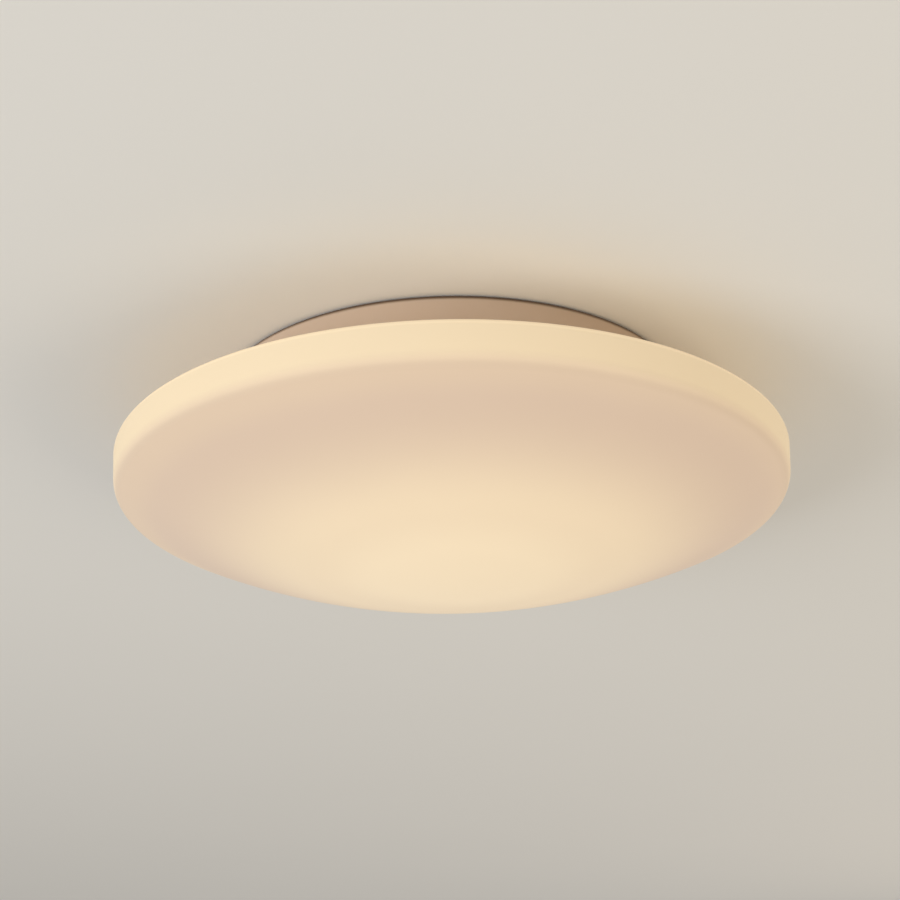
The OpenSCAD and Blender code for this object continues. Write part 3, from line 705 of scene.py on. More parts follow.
def darker(tone, share):
    """A tone a little darker than another."""
    return tuple(value * share for value in tone[:3])


def new_material(name):
    """An empty material, its tree and its Principled shader."""
    material = bpy.data.materials.new(name)
    material.use_nodes = True
    tree = material.node_tree
    return material, tree, tree.nodes["Principled BSDF"]


def surface(name, tone, second, roughness, pattern=grained_surface, cloud=20.0, grain=1500.0, relief=0.02,
            dust=0.08, **constants):
    """A material of two close tones, or of one and a share of it, over a shared pattern and under dust."""
    if isinstance(second, float):
        second = darker(tone, second)
    material, tree, shader = new_material(name)
    place = add(tree, "ShaderNodeTexCoord").outputs["Object"]
    look = add(tree, "ShaderNodeGroup", {
        "Vector": place, "Cloud Scale": cloud, "Grain Scale": grain, "Low": roughness[0], "High": roughness[1]
    }, node_tree=shared(pattern)).outputs
    film = add(tree, "ShaderNodeGroup", {
        "Vector": place, "Color": blended(tree, look["Cloud"], tone, second), "Amount": dust
    }, node_tree=shared(settled_dust)).outputs
    tree.links.new(film["Color"], shader.inputs["Base Color"])
    tree.links.new(look["Roughness"], shader.inputs["Roughness"])
    tree.links.new(bump(tree, look["Height"], relief * MM, 0.6), shader.inputs["Normal"])
    for key, value in constants.items():
        shader.inputs[key.replace("_", " ").title()].default_value = value
    return material


def metal(name, tone, second, roughness, cloud, grain, relief, pattern=zinc_plating, dust=0.03):
    """A metal surface over the pattern of plated or of brushed metal."""
    return surface(name, tone, second, roughness, pattern, cloud, grain, relief, dust, metallic=1.0)


def painted_over(material, tone, mask_of):
    """Lays a tone over a material where a mask says, which a function of tree and place makes."""
    tree = material.node_tree
    paint = tree.nodes["Principled BSDF"].inputs["Base Color"]
    mask = mask_of(tree, add(tree, "ShaderNodeTexCoord").outputs["Object"])
    tree.links.new(blended(tree, mask, paint.links[0].from_socket, tone), paint)
    return mask


def embossed(material, height, distance, strength):
    """Adds a relief on top of a material's own."""
    tree = material.node_tree
    normal = tree.nodes["Principled BSDF"].inputs["Normal"]
    under = normal.links[0].from_socket
    tree.links.new(bump(tree, height, distance, strength, Normal=under), normal)


# The glass shade


def glass_section(glass):
    """Half section of the glass: out along the dome, up the wall, in to the lip, and back on the inside."""
    rim, thick, corner_radius = GLASS_RIM, glass.thickness, glass.corner_radius
    top = Vector((glass.radius, rim))
    foot = Vector((glass.radius - glass.wall_draft, rim - glass.wall_height))
    down = (foot - top).normalized()
    inward = Vector((down.y, -down.x))
    dome_radius = (foot.x ** 2 + glass.dome_depth ** 2) / (2 * glass.dome_depth)
    dome_centre = Vector((0, foot.y - glass.dome_depth + dome_radius))
    start = top + corner_radius * inward - dome_centre
    along = start.dot(down)
    way = math.sqrt(along ** 2 - start.length_squared + (dome_radius - corner_radius) ** 2) - along
    corner = dome_centre + start + down * way
    edge = corner - dome_centre
    edge_angle = math.degrees(math.atan2(edge.y, edge.x))
    wall_angle = math.degrees(math.atan2(-inward.y, -inward.x))

    def at_height(offset, height):
        point = top + offset * inward
        return point + down * (height - point.y) / down.y

    shoulder, lip = glass.shoulder_radius, thick / 2
    return [
        *arc(dome_centre, dome_radius, -90, edge_angle, 72),
        *arc(corner, corner_radius, edge_angle, wall_angle, 18, 1),
        *arc(at_height(shoulder, rim - shoulder), shoulder, wall_angle, 90, 10),
        *arc((glass.opening_radius + lip, rim - lip), lip, 90, 270, 16),
        tuple(at_height(thick, rim - thick)),
        *arc(corner, corner_radius - thick, wall_angle, edge_angle, 10),
        *arc(dome_centre, dome_radius - thick, edge_angle, -90, 48, 1),
    ]


def opal_glass(glass):
    """Satin opal glass lit from inside: a real glow in its emission, and the same light painted into its base
    colour, bright in the middle and on the wall and duller near the edge, with a painted shade band at the
    bend and a painted highlight along the top rim.
    """
    material, tree, shader = new_material("Opal Glass")
    place = add(tree, "ShaderNodeTexCoord").outputs["Object"]
    parts = parts_of(tree, place)
    # Painted light: the glow's bright spot lies glow_shift to one side of the axis.
    away = reach(tree, maths(tree, "SUBTRACT", parts["X"], glass.glow_shift), parts["Y"])
    ramp = add(tree, "ShaderNodeValToRGB", {"Fac": maths(tree, "DIVIDE", away, glass.radius)})
    ramp.color_ramp.interpolation = "EASE"
    elements = ramp.color_ramp.elements
    elements.new(0.5)
    elements.new(0.8)
    tones = (glass.middle, glass.inner, glass.outer, glass.edge)
    for element, position, tone in zip(elements, (0.22, 0.45, 0.88, 0.97), tones):
        element.position = position
        element.color = (*tone, 1.0)
    rim, wall_foot = GLASS_RIM, GLASS_RIM - glass.wall_height
    height = remap(tree, parts["Z"], wall_foot - 2 * MM, wall_foot + 7 * MM, smooth=True)
    tone = blended(tree, height, ramp.outputs["Color"], glass.wall)
    milk = remap(tree, noise(tree, place, 14.0, 3.0), 0.3, 0.7, 0.985, 1.0)
    # Painted shade: the tone is darkened in a narrow band along the bend from wall to dome.
    from_bend = maths(tree, "ABSOLUTE", maths(tree, "SUBTRACT", parts["Z"], wall_foot - 0.5 * MM))
    bend = remap(tree, from_bend, 0.0, 2.4 * MM, 0.95, 1.0, smooth=True)
    # Painted highlight: the tone is lifted in a thin band just below the top rim.
    lip = remap(tree, parts["Z"], rim - 3.5 * MM, rim - 2 * MM, 1.0, 1.12, smooth=True)
    shaded = scaled(tree, tone, product(tree, bend, lip, milk))
    # The base colour carries the painted glow, scaled by the body share, beside the real glow in the emission.
    tree.links.new(scaled(tree, shaded, glass.body), shader.inputs["Base Color"])
    tree.links.new(shaded, shader.inputs["Emission Color"])
    grain = noise(tree, place, 1100.0, 3.0)
    tree.links.new(remap(tree, grain, 0.0, 1.0, 0.48, 0.6), shader.inputs["Roughness"])
    relief = maths(tree, "ADD", product(tree, noise(tree, place, 24.0, 1.0), 6.0), grain)
    tree.links.new(bump(tree, relief, 0.01 * MM, 0.5), shader.inputs["Normal"])
    for key, value in (("Emission Strength", glass.glow), ("Specular IOR Level", 0.3),
                       ("Coat Weight", 0.08), ("Coat Roughness", 0.2)):
        shader.inputs[key].default_value = value
    return material


class CEILINGLIGHT_OT_glass(bpy.types.Operator):
    """Make the opal glass shade, turned from its section"""

    bl_idname = "ceiling_light.glass"
    bl_label = "Glass Shade"

    def execute(self, context):
        glass = context.scene.ceiling_light.glass
        bowl = turned("glass_bowl", glass_section(glass), opal_glass(glass), steps=glass.steps)
        seat(bowl, "shade", "opal_glass", "glass_shade")
        return {"FINISHED"}


# The canopy

# Heights of the sheets' tops at the grommets, and radii of the grommets' necks
CANOPY_PLATE, TRAY_FLOOR = -3 * MM, -50 * MM
CABLE_NECK, LEAD_NECK = 9.8 * MM, 4.8 * MM


def canopy_paint(canopy):
    """Satin paint, with a thin dark line painted on the top bend where the canopy meets the ceiling: a painted
    shadow of the gap there.
    """
    material = surface("Canopy Paint", canopy.paint, 0.95, (0.34, 0.44), cloud=9.0, grain=900.0, relief=0.03,
        coat_weight=0.2, coat_roughness=0.25)
    bend = canopy.bend

    # Painted shadow: a mask of the outer top bend, from 1.8 to 3.3 mm below the ceiling, which takes the dark
    # tone.
    def grime_line(tree, place):
        parts = parts_of(tree, place)
        away = reach(tree, parts["X"], parts["Y"])
        from_axis = maths(tree, "MAXIMUM", maths(tree, "SUBTRACT", away, CANOPY_RADIUS - bend), 0.0)
        from_bend = reach(tree, from_axis, maths(tree, "ADD", parts["Z"], bend))
        outside = remap(tree, from_bend, bend - 0.6 * MM, bend - 0.3 * MM)
        round_bend = maths(tree, "GREATER_THAN", from_axis, 0.05 * MM)
        near_top = remap(tree, parts["Z"], -3.3 * MM, -1.8 * MM)
        return product(tree, outside, round_bend, near_top)

    painted_over(material, canopy.grime, grime_line)
    return material


def grommet_section(canopy, node, bore, neck, step, seat_top):
    """Half section of a grommet that grips the sheet below a height with its neck."""
    low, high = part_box(node)
    wide, seat_foot = high.x, seat_top - canopy.sheet
    return rounded_section([
        (bore, low.z, 0.6 * MM),
        (wide - step, low.z, 0.7 * MM),
        (wide - step, seat_foot, 0.15 * MM),
        (neck, seat_foot, 0.1 * MM),
        (neck, seat_top, 0.1 * MM),
        (wide, seat_top, 0.15 * MM),
        (wide, high.z, 0.7 * MM),
        (bore, high.z, 0.6 * MM),
    ])


class CEILINGLIGHT_OT_canopy(bpy.types.Operator):
    """Paint the canopy, and make its ring and the grommets"""

    bl_idname = "ceiling_light.canopy"
    bl_label = "Canopy"

    def execute(self, context):
        canopy = context.scene.ceiling_light.canopy
        dress("canopy_pan", canopy_paint(canopy))
        rubber = surface("Grommet Rubber", canopy.rubber, 0.7, (0.6, 0.78), cloud=120.0, grain=2600.0,
            relief=0.03, dust=0.1)
        silicone = surface("Seal Silicone", canopy.seal, 0.93, (0.5, 0.62), cloud=40.0, grain=2200.0,
            dust=0.15)
        for node, name, slot, *sizes in (
            ("cable_grommet", "cable_bush", "grommet_rubber",
             canopy.cable_bore, CABLE_NECK, 0.0, CANOPY_PLATE),
            ("tray_grommet", "tray_bush", "tray_grommet_rubber",
             canopy.lead_bore, LEAD_NECK, 0.6 * MM, TRAY_FLOOR),
        ):
            section = grommet_section(canopy, node, *sizes)
            seat(turned(name, section, rubber, steps=72), "root", slot, node)
        low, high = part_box("seal_ring")
        inner = high.x - canopy.seal_width
        section = rounded_section([
            (inner, low.z, 0.4 * MM),
            (high.x, low.z, 0.4 * MM),
            (high.x, high.z, 0.15 * MM),
            (inner, high.z, 0.15 * MM),
        ])
        seat(turned("seal_band", section, silicone, steps=180), "root", "seal_rubber", "seal_ring")
        return {"FINISHED"}


# The tray and its springs

SPRING_ANGLES, RIVET_CIRCLE, RIVET_OFFSET = (30, 150, 270), 108 * MM, 3.5 * MM


def rivet_section(radius):
    """Half section of a rivet along Z, with a low dome at both ends."""
    head, dome, inner, outer = 1.7 * radius, 0.8 * MM, -1.2 * MM, 0.7 * MM
    turns = [math.radians(t) for t in (0, 22, 45, 68, 90)]
    low = [(head * math.sin(t), inner - dome * math.cos(t)) for t in turns]
    high = [(head * math.sin(t), outer + dome * math.cos(t)) for t in reversed(turns)]
    return [*low, (radius, inner), (radius, outer), *high]


class CEILINGLIGHT_OT_tray(bpy.types.Operator):
    """Enamel the tray, and make its springs and their rivets"""

    bl_idname = "ceiling_light.tray"
    bl_label = "Tray and Springs"

    def execute(self, context):
        tray = context.scene.ceiling_light.tray
        dress("led_tray", surface("Tray Enamel", tray.enamel, 0.96, (0.22, 0.34), cloud=12.0, grain=700.0,
            relief=0.04, coat_weight=0.3, coat_roughness=0.12))
        steel = metal("Spring Steel", tray.spring, 0.86, (0.2, 0.34), 90.0, 3000.0, 0.01, brushed_metal)
        seat_refined("shade_clips", "glass_springs", steel, 0.12 * MM, "spring_steel")
        alloy = metal("Rivet Alloy", shade(210, 210, 208), shade(188, 188, 187), (0.25, 0.4), 1500.0,
            6000.0, 0.005)
        low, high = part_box("clip_rivets")
        spots, turns = [], []
        for angle in SPRING_ANGLES:
            facing = Matrix.Rotation(math.radians(angle), 3, "Z")
            for side in (-RIVET_OFFSET, RIVET_OFFSET):
                spots.append(facing @ Vector((RIVET_CIRCLE, side, (low.z + high.z) / 2)))
                turns.append(Euler((0.0, math.radians(90), math.radians(angle))))
        rivets = turned("spring_rivets", rivet_section(tray.rivet_radius), alloy, places(spots, turns),
            steps=24)
        seat(rivets, "root", "rivet_metal", "clip_rivets")
        return {"FINISHED"}


# The LED board

LED_COUNTS = (8, 14, 20, 26)
SCREW_ANGLES, SCREW_CIRCLE = (45, 135, 225, 315), 51 * MM
# Points of radius and height in millimetres, from the head's top round to the tip
SCREW_SECTION = (
    (0, -1.8), (1.5, -1.75), (2.2, -1.5), (2.7, -0.95), (2.8, -0.3), (2.65, 0), (1.5, 0), (1.5, 4.6),
    (1.1, 5), (0, 5),
)


def led_places(board):
    """The places of the LEDs on the board's face, in four rings, each turned along its radius."""
    spots, turns = [], []
    for ring, count in enumerate(LED_COUNTS):
        for index in range(count):
            angle = (index + ring / 2) * math.tau / count
            spots.append(on_circle(board.first_ring + ring * board.ring_step, angle, BOARD_FACE))
            turns.append((0.0, 0.0, angle))
    return places(spots, turns)


def solder_mask(board):
    """White solder mask over rings of copper, which show as faint raised bands."""
    material = surface("Solder Mask", board.mask, 0.97, (0.28, 0.36), cloud=30.0, grain=1800.0, relief=0.01,
        dust=0.04)

    def copper_bands(tree, place):
        parts = parts_of(tree, place)
        away = reach(tree, parts["X"], parts["Y"])
        ring = maths(tree, "DIVIDE", maths(tree, "SUBTRACT", away, board.first_ring), board.ring_step)
        return remap(tree, maths(tree, "PINGPONG", ring, 0.5), 0.27, 0.3, 1.0, 0.0, smooth=True)

    bands = painted_over(material, darker(board.mask, 0.9), copper_bands)
    embossed(material, bands, 0.06 * MM, 0.8)
    return material


def screw_mesh(name):
    """A pan head screw with a cross recess, its head's seat at z = 0 and its shank upwards."""
    body = turned(name, [(r * MM, z * MM) for r, z in SCREW_SECTION], None, steps=32)
    for half_x, half_y in ((0.95, 0.25), (0.25, 0.95)):
        outer = rectangle(half_x * MM, half_y * MM)
        inner = [(x * 0.7, y * 0.7) for x, y in outer]
        cut_away(body, lofted("recess", [(outer, -2.2 * MM), (outer, -1.7 * MM), (inner, -0.7 * MM)]))
    mesh = body.data
    bpy.data.objects.remove(body)
    return mesh


def seat_packages(board):
    """Seats the frame, the lens and the two pads of each LED package."""
    half_x, half_y, high = board.package_length / 2, board.package_width / 2, board.package_height
    resin = surface("Package Resin", shade(244, 243, 238), shade(236, 235, 229), (0.3, 0.4), cloud=400.0,
        grain=5000.0, relief=0.004, dust=0.0)
    solder = metal("Solder", shade(206, 206, 204), shade(180, 180, 180), (0.18, 0.34), 2500.0, 7000.0, 0.01,
        dust=0.0)
    phosphor = surface("Phosphor", board.phosphor, 0.88, (0.3, 0.45), cloud=900.0, grain=6000.0, relief=0.01,
        dust=0.0, emission_color=(*board.phosphor, 1.0), emission_strength=board.glow)
    outer = rounded_loop(half_x, half_y, 0.25 * MM)
    rim = rounded_loop(half_x - 0.4 * MM, half_y - 0.35 * MM, 0.7 * MM)
    well = rounded_loop(half_x - 0.55 * MM, half_y - 0.5 * MM, 0.6 * MM)
    package = lofted("package", [(outer, 0.0), (outer, -high), (rim, -high), (well, -high + 0.2 * MM)])
    seat(copied("led_frames", package, resin, led_places(board)), "root", "led_phosphor", "led_packages")
    lens = lofted("lens", [
        ([(x * s, y * s) for x, y in well], -high + z * MM)
        for s, z in ((1.0, 0.19), (1.0, 0.09), (0.8, 0.04), (0.45, 0.01))
    ])
    seat(copied("led_lenses", lens, phosphor, led_places(board)), "root", "led_phosphor")
    pads = []
    for end in (-half_x, half_x):
        pad = [(end + math.copysign(0.15 * MM, end) + x, y)
            for x, y in rounded_loop(0.55 * MM, half_y - 0.3 * MM, 0.2 * MM, 2)]
        crown = [(x * 0.9 + end * 0.1, y * 0.85) for x, y in pad]
        mesh = lofted("pad", [(pad, 0.02 * MM), (pad, -0.05 * MM), (crown, -0.12 * MM)])
        pads.append(copied("pads", mesh, solder, led_places(board)))
    seat(joined("led_pads", pads), "root", "led_phosphor")


class CEILINGLIGHT_OT_board(bpy.types.Operator):
    """Make the LED board's packages, pads and screws, and finish the board and its connector"""

    bl_idname = "ceiling_light.board"
    bl_label = "LED Board"

    def execute(self, context):
        board = context.scene.ceiling_light.board
        dress("led_board", solder_mask(board))
        seat_packages(board)
        steel = metal("Screw Steel", shade(204, 204, 206), shade(184, 184, 188), (0.24, 0.38), 1400.0,
            5000.0, 0.006)
        screws = copied("board_pan_screws", screw_mesh("screw"), steel,
            ring_places(SCREW_ANGLES, SCREW_CIRCLE, BOARD_FACE))
        seat(screws, "root", "screw_metal", "board_screws")
        nylon = surface("Connector Nylon", shade(238, 236, 228), shade(228, 225, 214), (0.42, 0.55),
            cloud=150.0, grain=2500.0, dust=0.04)
        connector = refined("board_connector", "lead_connector", nylon, 0.25 * MM)
        low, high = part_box("board_connector")
        middle = (low + high) / 2
        for side in (-1.9 * MM, 1.9 * MM):
            mouth = rectangle(1.3 * MM, 0.9 * MM, middle.x, middle.y + side)
            cut_away(connector, lofted("slot", [(mouth, low.z - 1 * MM), (mouth, low.z + 0.8 * MM)]))
        seat(connector, "root", "connector_plastic", "board_connector")
        return {"FINISHED"}


# Studs, pillars and nuts

# Height of the collar and height of the tip, and the places of the studs, all in millimetres
STUD_KINDS = (
    (6, -14.7, ((62, 38), (-62, 60))),
    (0, -8.7, ((20, -42), (-20, -42))),
    (2, -8.5, ((44, -20),)),
)
PILLAR_ANGLES, PILLAR_CIRCLE = (90, 210, 330), 97 * MM


def thread_rows(radius, foot, top, pitch):
    """Points up the side of a rod, close enough to carry a thread, above a chamfered foot."""
    chamfer = 0.5 * MM
    count = math.ceil((top - foot - chamfer) / pitch * 6)
    rise = (top - foot - chamfer) / count
    return [(0, foot), (radius - 0.45 * MM, foot), (radius, foot + chamfer),
            *[(radius, foot + chamfer + k * rise) for k in range(1, count + 1)]]


def threaded(name, fasteners, foot, top, head, material, spots, steps):
    """Rods with a thread from foot to top, under a head given by points of radius and height."""
    section = [*thread_rows(fasteners.stud_radius, foot, top, fasteners.pitch), *head]
    return turned(name, section, material, spots, steps, thread_pitch=fasteners.pitch,
        thread_depth=fasteners.depth, thread_foot=foot + 0.6 * MM, thread_top=top - 0.1 * MM)


def nut_mesh(fasteners):
    """A hexagon nut with chamfered corners, its top at z = 0."""
    count, half_side, lead_in = 48, math.radians(30), 0.25 * MM
    flat = fasteners.nut_radius * math.cos(half_side)
    face, bore, high = flat * 0.97, fasteners.stud_radius + 0.1 * MM, fasteners.nut_height
    points, faces = [], []
    for k in range(count):
        turn = math.tau * k / count
        corner = flat / math.cos((turn + half_side) % (2 * half_side) - half_side)
        fall = (corner - face) * math.tan(half_side)
        loop = [
            (bore, -high + lead_in), (bore + lead_in, -high), (face, -high), (corner, -high + fall),
            (corner, -fall), (face, 0.0), (bore + lead_in, 0.0), (bore, -lead_in),
        ]
        points += [on_circle(r, turn, z) for r, z in loop]
        here, ahead = 8 * k, 8 * ((k + 1) % count)
        faces += [(here + i, here + (i + 1) % 8, ahead + (i + 1) % 8, ahead + i) for i in range(8)]
    return new_mesh("nut", points, faces)


def centres(node):
    """The middle of each separate solid of a CAD node, at the height of its top, from left to right."""
    shape = bmesh.new()
    shape.from_mesh(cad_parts[node].data)
    bmesh.ops.remove_doubles(shape, verts=shape.verts, dist=MERGE_DISTANCE)
    left, found = set(shape.verts), []
    while left:
        group, queue = set(), [left.pop()]
        while queue:
            vert = queue.pop()
            group.add(vert)
            near = [edge.other_vert(vert) for edge in vert.link_edges]
            queue.extend(v for v in near if v in left)
            left.difference_update(near)
        low, high = ([pick(v.co[i] for v in group) for i in range(3)] for pick in (min, max))
        found.append(Vector(((low[0] + high[0]) / 2, (low[1] + high[1]) / 2, high[2])))
    shape.free()
    return sorted(found, key=tuple)


class CEILINGLIGHT_OT_fasteners(bpy.types.Operator):
    """Make the threaded studs, the pillars and all nuts"""

    bl_idname = "ceiling_light.fasteners"
    bl_label = "Studs, Pillars and Nuts"

    def execute(self, context):
        fasteners = context.scene.ceiling_light.fasteners
        zinc = metal("Zinc Plating", fasteners.zinc, 0.88, (0.26, 0.42), 1200.0, 5000.0, 0.006)
        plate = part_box("canopy_studs")[1].z
        studs = []
        for collar, tip, spots in STUD_KINDS:
            top = plate - max(collar, 0.8) * MM
            wide = fasteners.stud_radius + (1.5 * MM if collar else 0.5 * MM)
            head = [(wide, top if collar else plate), (wide, plate), (0, plate)]
            spots = places([(x * MM, y * MM, 0) for x, y in spots])
            studs.append(threaded("studs", fasteners, tip * MM, top, head, zinc, spots, 20))
        seat(joined("threaded_studs", studs), "root", "zinc_studs", "canopy_studs")
        low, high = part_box("tray_pillars")
        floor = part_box("led_tray")[0].z + 1 * MM
        head = [
            (3.6 * MM, floor), (4 * MM, floor + 0.4 * MM), (4 * MM, high.z - 1.3 * MM),
            (4.3 * MM, high.z - 1 * MM), (6.8 * MM, high.z - 1 * MM), (7 * MM, high.z - 0.8 * MM),
            (7 * MM, high.z), (0, high.z),
        ]
        pillars = threaded("tray_posts", fasteners, low.z, floor, head, zinc,
            ring_places(PILLAR_ANGLES, PILLAR_CIRCLE, 0), 32)
        seat(pillars, "root", "zinc_pillars", "tray_pillars")
        for node, slot in (("tray_nuts", "zinc_nuts"), ("driver_nuts", "zinc_driver_nuts"),
                           ("terminal_nuts", "zinc_terminal_nuts"), ("earth_nut", "zinc_earth_nut")):
            spots = centres(node)
            turns = [(0.0, 0.0, math.atan2(p.y, p.x) if node == "tray_nuts" else 0.0) for p in spots]
            seat(copied("hex_" + node, nut_mesh(fasteners), zinc, places(spots, turns)), "root", slot, node)
        return {"FINISHED"}


# The driver


def board_green(name):
    """Green solder mask with lighter tracks in straight runs."""
    material = surface(name, shade(24, 96, 48), shade(20, 84, 42), (0.25, 0.35), cloud=80.0, grain=2400.0,
        relief=0.01, dust=0.02)
    painted_over(material, shade(52, 134, 66), lambda tree, place: add(tree, "ShaderNodeTexBrick", {
        "Vector": place, "Scale": 90.0, "Mortar Size": 0.06, "Mortar Smooth": 0.2, "Brick Width": 0.9,
        "Row Height": 0.35
    }, offset=0.37, squash=1.0).outputs["Fac"])
    return material


def winding_tape(name):
    """Yellow tape in overlapping turns round the transformer."""
    material = surface(name, shade(228, 186, 62), shade(212, 168, 48), (0.25, 0.4), cloud=160.0, grain=2600.0,
        relief=0.01, dust=0.02)
    tree = material.node_tree
    height = parts_of(tree, add(tree, "ShaderNodeTexCoord").outputs["Object"])["Z"]
    embossed(material, maths(tree, "FRACT", maths(tree, "DIVIDE", height, 2.4 * MM)), 0.12 * MM, 0.7)
    return material


class CEILINGLIGHT_OT_driver(bpy.types.Operator):
    """Finish the driver's case, its cover and what is inside"""

    bl_idname = "ceiling_light.driver"
    bl_label = "Driver"

    def execute(self, context):
        wiring = context.scene.ceiling_light.wiring
        housing = surface("Driver Plastic", wiring.housing, 0.97, (0.5, 0.62), cloud=25.0, grain=1900.0,
            relief=0.05, dust=0.06)
        seat_refined("driver_case", "driver_tub", housing, 0.4 * MM, "driver_plastic")
        seat_refined("driver_cover", "driver_lid", housing, 0.4 * MM, "driver_cover_plastic")
        dress("driver_board", board_green("Board Green"))
        seat_refined("driver_transformer", "taped_transformer", winding_tape("Winding Tape"), 0.5 * MM,
            "transformer_tape")
        sleeve = surface("Capacitor Sleeve", shade(40, 46, 62), shade(30, 34, 48), (0.2, 0.32), cloud=90.0,
            grain=2600.0, relief=0.01, dust=0.02, coat_weight=0.4, coat_roughness=0.15)
        seat_refined("driver_capacitors", "sleeved_capacitors", sleeve, 0.5 * MM, "capacitor_sleeve",
            segments=3)
        return {"FINISHED"}


# The terminal block, its levers and the earth tag


class CEILINGLIGHT_OT_terminals(bpy.types.Operator):
    """Finish the terminal block, its clamps and levers, and the earth tag"""

    bl_idname = "ceiling_light.terminals"
    bl_label = "Terminals"

    def execute(self, context):
        wiring = context.scene.ceiling_light.wiring
        block = surface("Terminal Plastic", wiring.block, 0.96, (0.4, 0.52), cloud=60.0, grain=2200.0,
            relief=0.03, dust=0.05)
        grip = surface("Lever Plastic", wiring.lever, 0.92, (0.28, 0.4), cloud=120.0, grain=2600.0,
            relief=0.015, dust=0.02, coat_weight=0.25, coat_roughness=0.2)
        brass = metal("Clamp Brass", shade(212, 178, 112), shade(192, 156, 92), (0.22, 0.36), 200.0,
            3500.0, 0.008, brushed_metal, 0.02)
        tag = metal("Tinned Brass", shade(214, 198, 156), shade(196, 178, 134), (0.26, 0.4), 220.0,
            3500.0, 0.008, brushed_metal, 0.02)
        seat_refined("terminal_body", "terminal_block", block, 0.18 * MM, "terminal_plastic")
        seat_refined("terminal_clamps", "clamp_cages", brass, 0.1 * MM, "clamp_metal")
        for pole in ("live", "neutral", "earth"):
            seat_refined("lever_" + pole, pole + "_grip", grip, 0.25 * MM, "lever_plastic", pole + "_lever")
        dress("earth_tag", tag)
        return {"FINISHED"}


# The leads

# Points in millimetres on the way of each lead
ROUTES = {
    "live": [
        (-8.5, -48, -6), (-8.5, -57, -6), (-10, -61, -6), (-14, -63.5, -6), (-22, -63, -6),
        (-36, -57, -6), (-50, -45, -6), (-60, -30, -6), (-65, -18, -6), (-66, -10, -6), (-66, 2, -6),
        (-67, 10, -7), (-69, 18, -9.5), (-70, 25, -12), (-69, 31, -13), (-66, 35, -13), (-62, 36, -13),
        (-48, 36, -13),
    ],
    "neutral": [
        (0, -48, -6), (0, -60, -6), (-2, -66, -6), (-7, -69.5, -6), (-16, -70.5, -6), (-32, -66, -6),
        (-50, -54, -6), (-63, -38, -6), (-70, -21, -6), (-72, -11, -6), (-72, 2, -6), (-74, 10, -7),
        (-76, 19, -9.5), (-77, 28, -12), (-76, 36, -13), (-72, 41, -13), (-66, 42, -13), (-48, 42, -13),
    ],
    "earth": [
        (8.5, -48, -6), (8.5, -57, -6), (11, -63, -6), (17, -66, -5.5), (26, -65, -5), (36, -59, -4.5),
        (42, -50, -4), (44, -42, -3.5), (44, -29, -3.5),
    ],
    "red": [
        (48, 55, -13), (60, 55, -13), (65, 53, -13.5), (68, 48, -15), (69, 38, -18), (66, 24, -23),
        (56, 12, -28), (42, 5, -32), (26, 2.5, -35), (12, 2, -36.5), (5, 2, -38), (1.2, 1.9, -41),
        (0, 1.9, -45), (0, 1.9, -51.5), (0.7, 1.9, -53.4), (2.6, 1.9, -54.6), (5, 1.9, -54.6),
        (12, 1.9, -54.6),
    ],
    "black": [
        (48, 60, -13), (61, 60, -13), (67, 58, -13.5), (72, 51, -15), (73, 39, -18), (70, 22, -23),
        (58, 8, -28), (43, 0, -32), (26, -2.5, -35), (12, -2, -36.5), (5, -2, -38), (1.2, -1.9, -41),
        (0, -1.9, -45), (0, -1.9, -51.5), (0.7, -1.9, -53.4), (2.6, -1.9, -54.6), (5, -1.9, -54.6),
        (12, -1.9, -54.6),
    ],
}
# CAD node, slot, setting that holds the radius, tone, and tone of the stripes
LEADS = {
    "live": ("live_lead", "lead_brown", "mains_radius", shade(112, 66, 38), None),
    "neutral": ("neutral_lead", "lead_blue", "mains_radius", shade(44, 92, 172), None),
    "earth": ("earth_lead", "lead_green_yellow", "mains_radius", shade(62, 132, 58), shade(226, 206, 62)),
    "red": ("led_lead_red", "lead_red", "led_radius", shade(184, 36, 30), None),
    "black": ("led_lead_black", "lead_black", "led_radius", shade(32, 32, 33), None),
}


def insulation(name, tone, stripe):
    """Extruded insulation with a soft sheen, and where a second tone is given, two stripes of it."""
    material = surface(name, tone, 0.9, (0.32, 0.46), cloud=150.0, grain=2800.0, relief=0.015, dust=0.03,
        coat_weight=0.15, coat_roughness=0.3)

    def two_sides(tree, place):
        side = add(tree, "ShaderNodeAttribute", attribute_name="round").outputs["Vector"]
        return remap(tree, maths(tree, "ABSOLUTE", parts_of(tree, side)["X"]), 0.8 * MM, 0.9 * MM)

    if stripe:
        painted_over(material, stripe, two_sides)
    return material


class CEILINGLIGHT_OT_leads(bpy.types.Operator):
    """Run the five leads along their routes, and finish the clip that holds two of them"""

    bl_idname = "ceiling_light.leads"
    bl_label = "Leads"

    def execute(self, context):
        wiring = context.scene.ceiling_light.wiring
        for lead, (node, slot, size, tone, stripe) in LEADS.items():
            mesh = path_mesh(lead, [Vector(p) * MM for p in ROUTES[lead]])
            radius = getattr(wiring, size)
            piece = solved(lead + "_wire", mesh, shared(lead_on_route), radius=radius, ring_distance=radius,
                sides=14, material=insulation(lead.title() + " Insulation", tone, stripe))
            seat(piece, "root", slot, node)
        nylon = surface("Clip Nylon", shade(240, 239, 232), shade(230, 228, 220), (0.4, 0.52), cloud=120.0,
            grain=2500.0, dust=0.04)
        seat_refined("lead_clip", "wire_clip", nylon, 0.3 * MM, "lead_clip_plastic")
        return {"FINISHED"}


# The stage


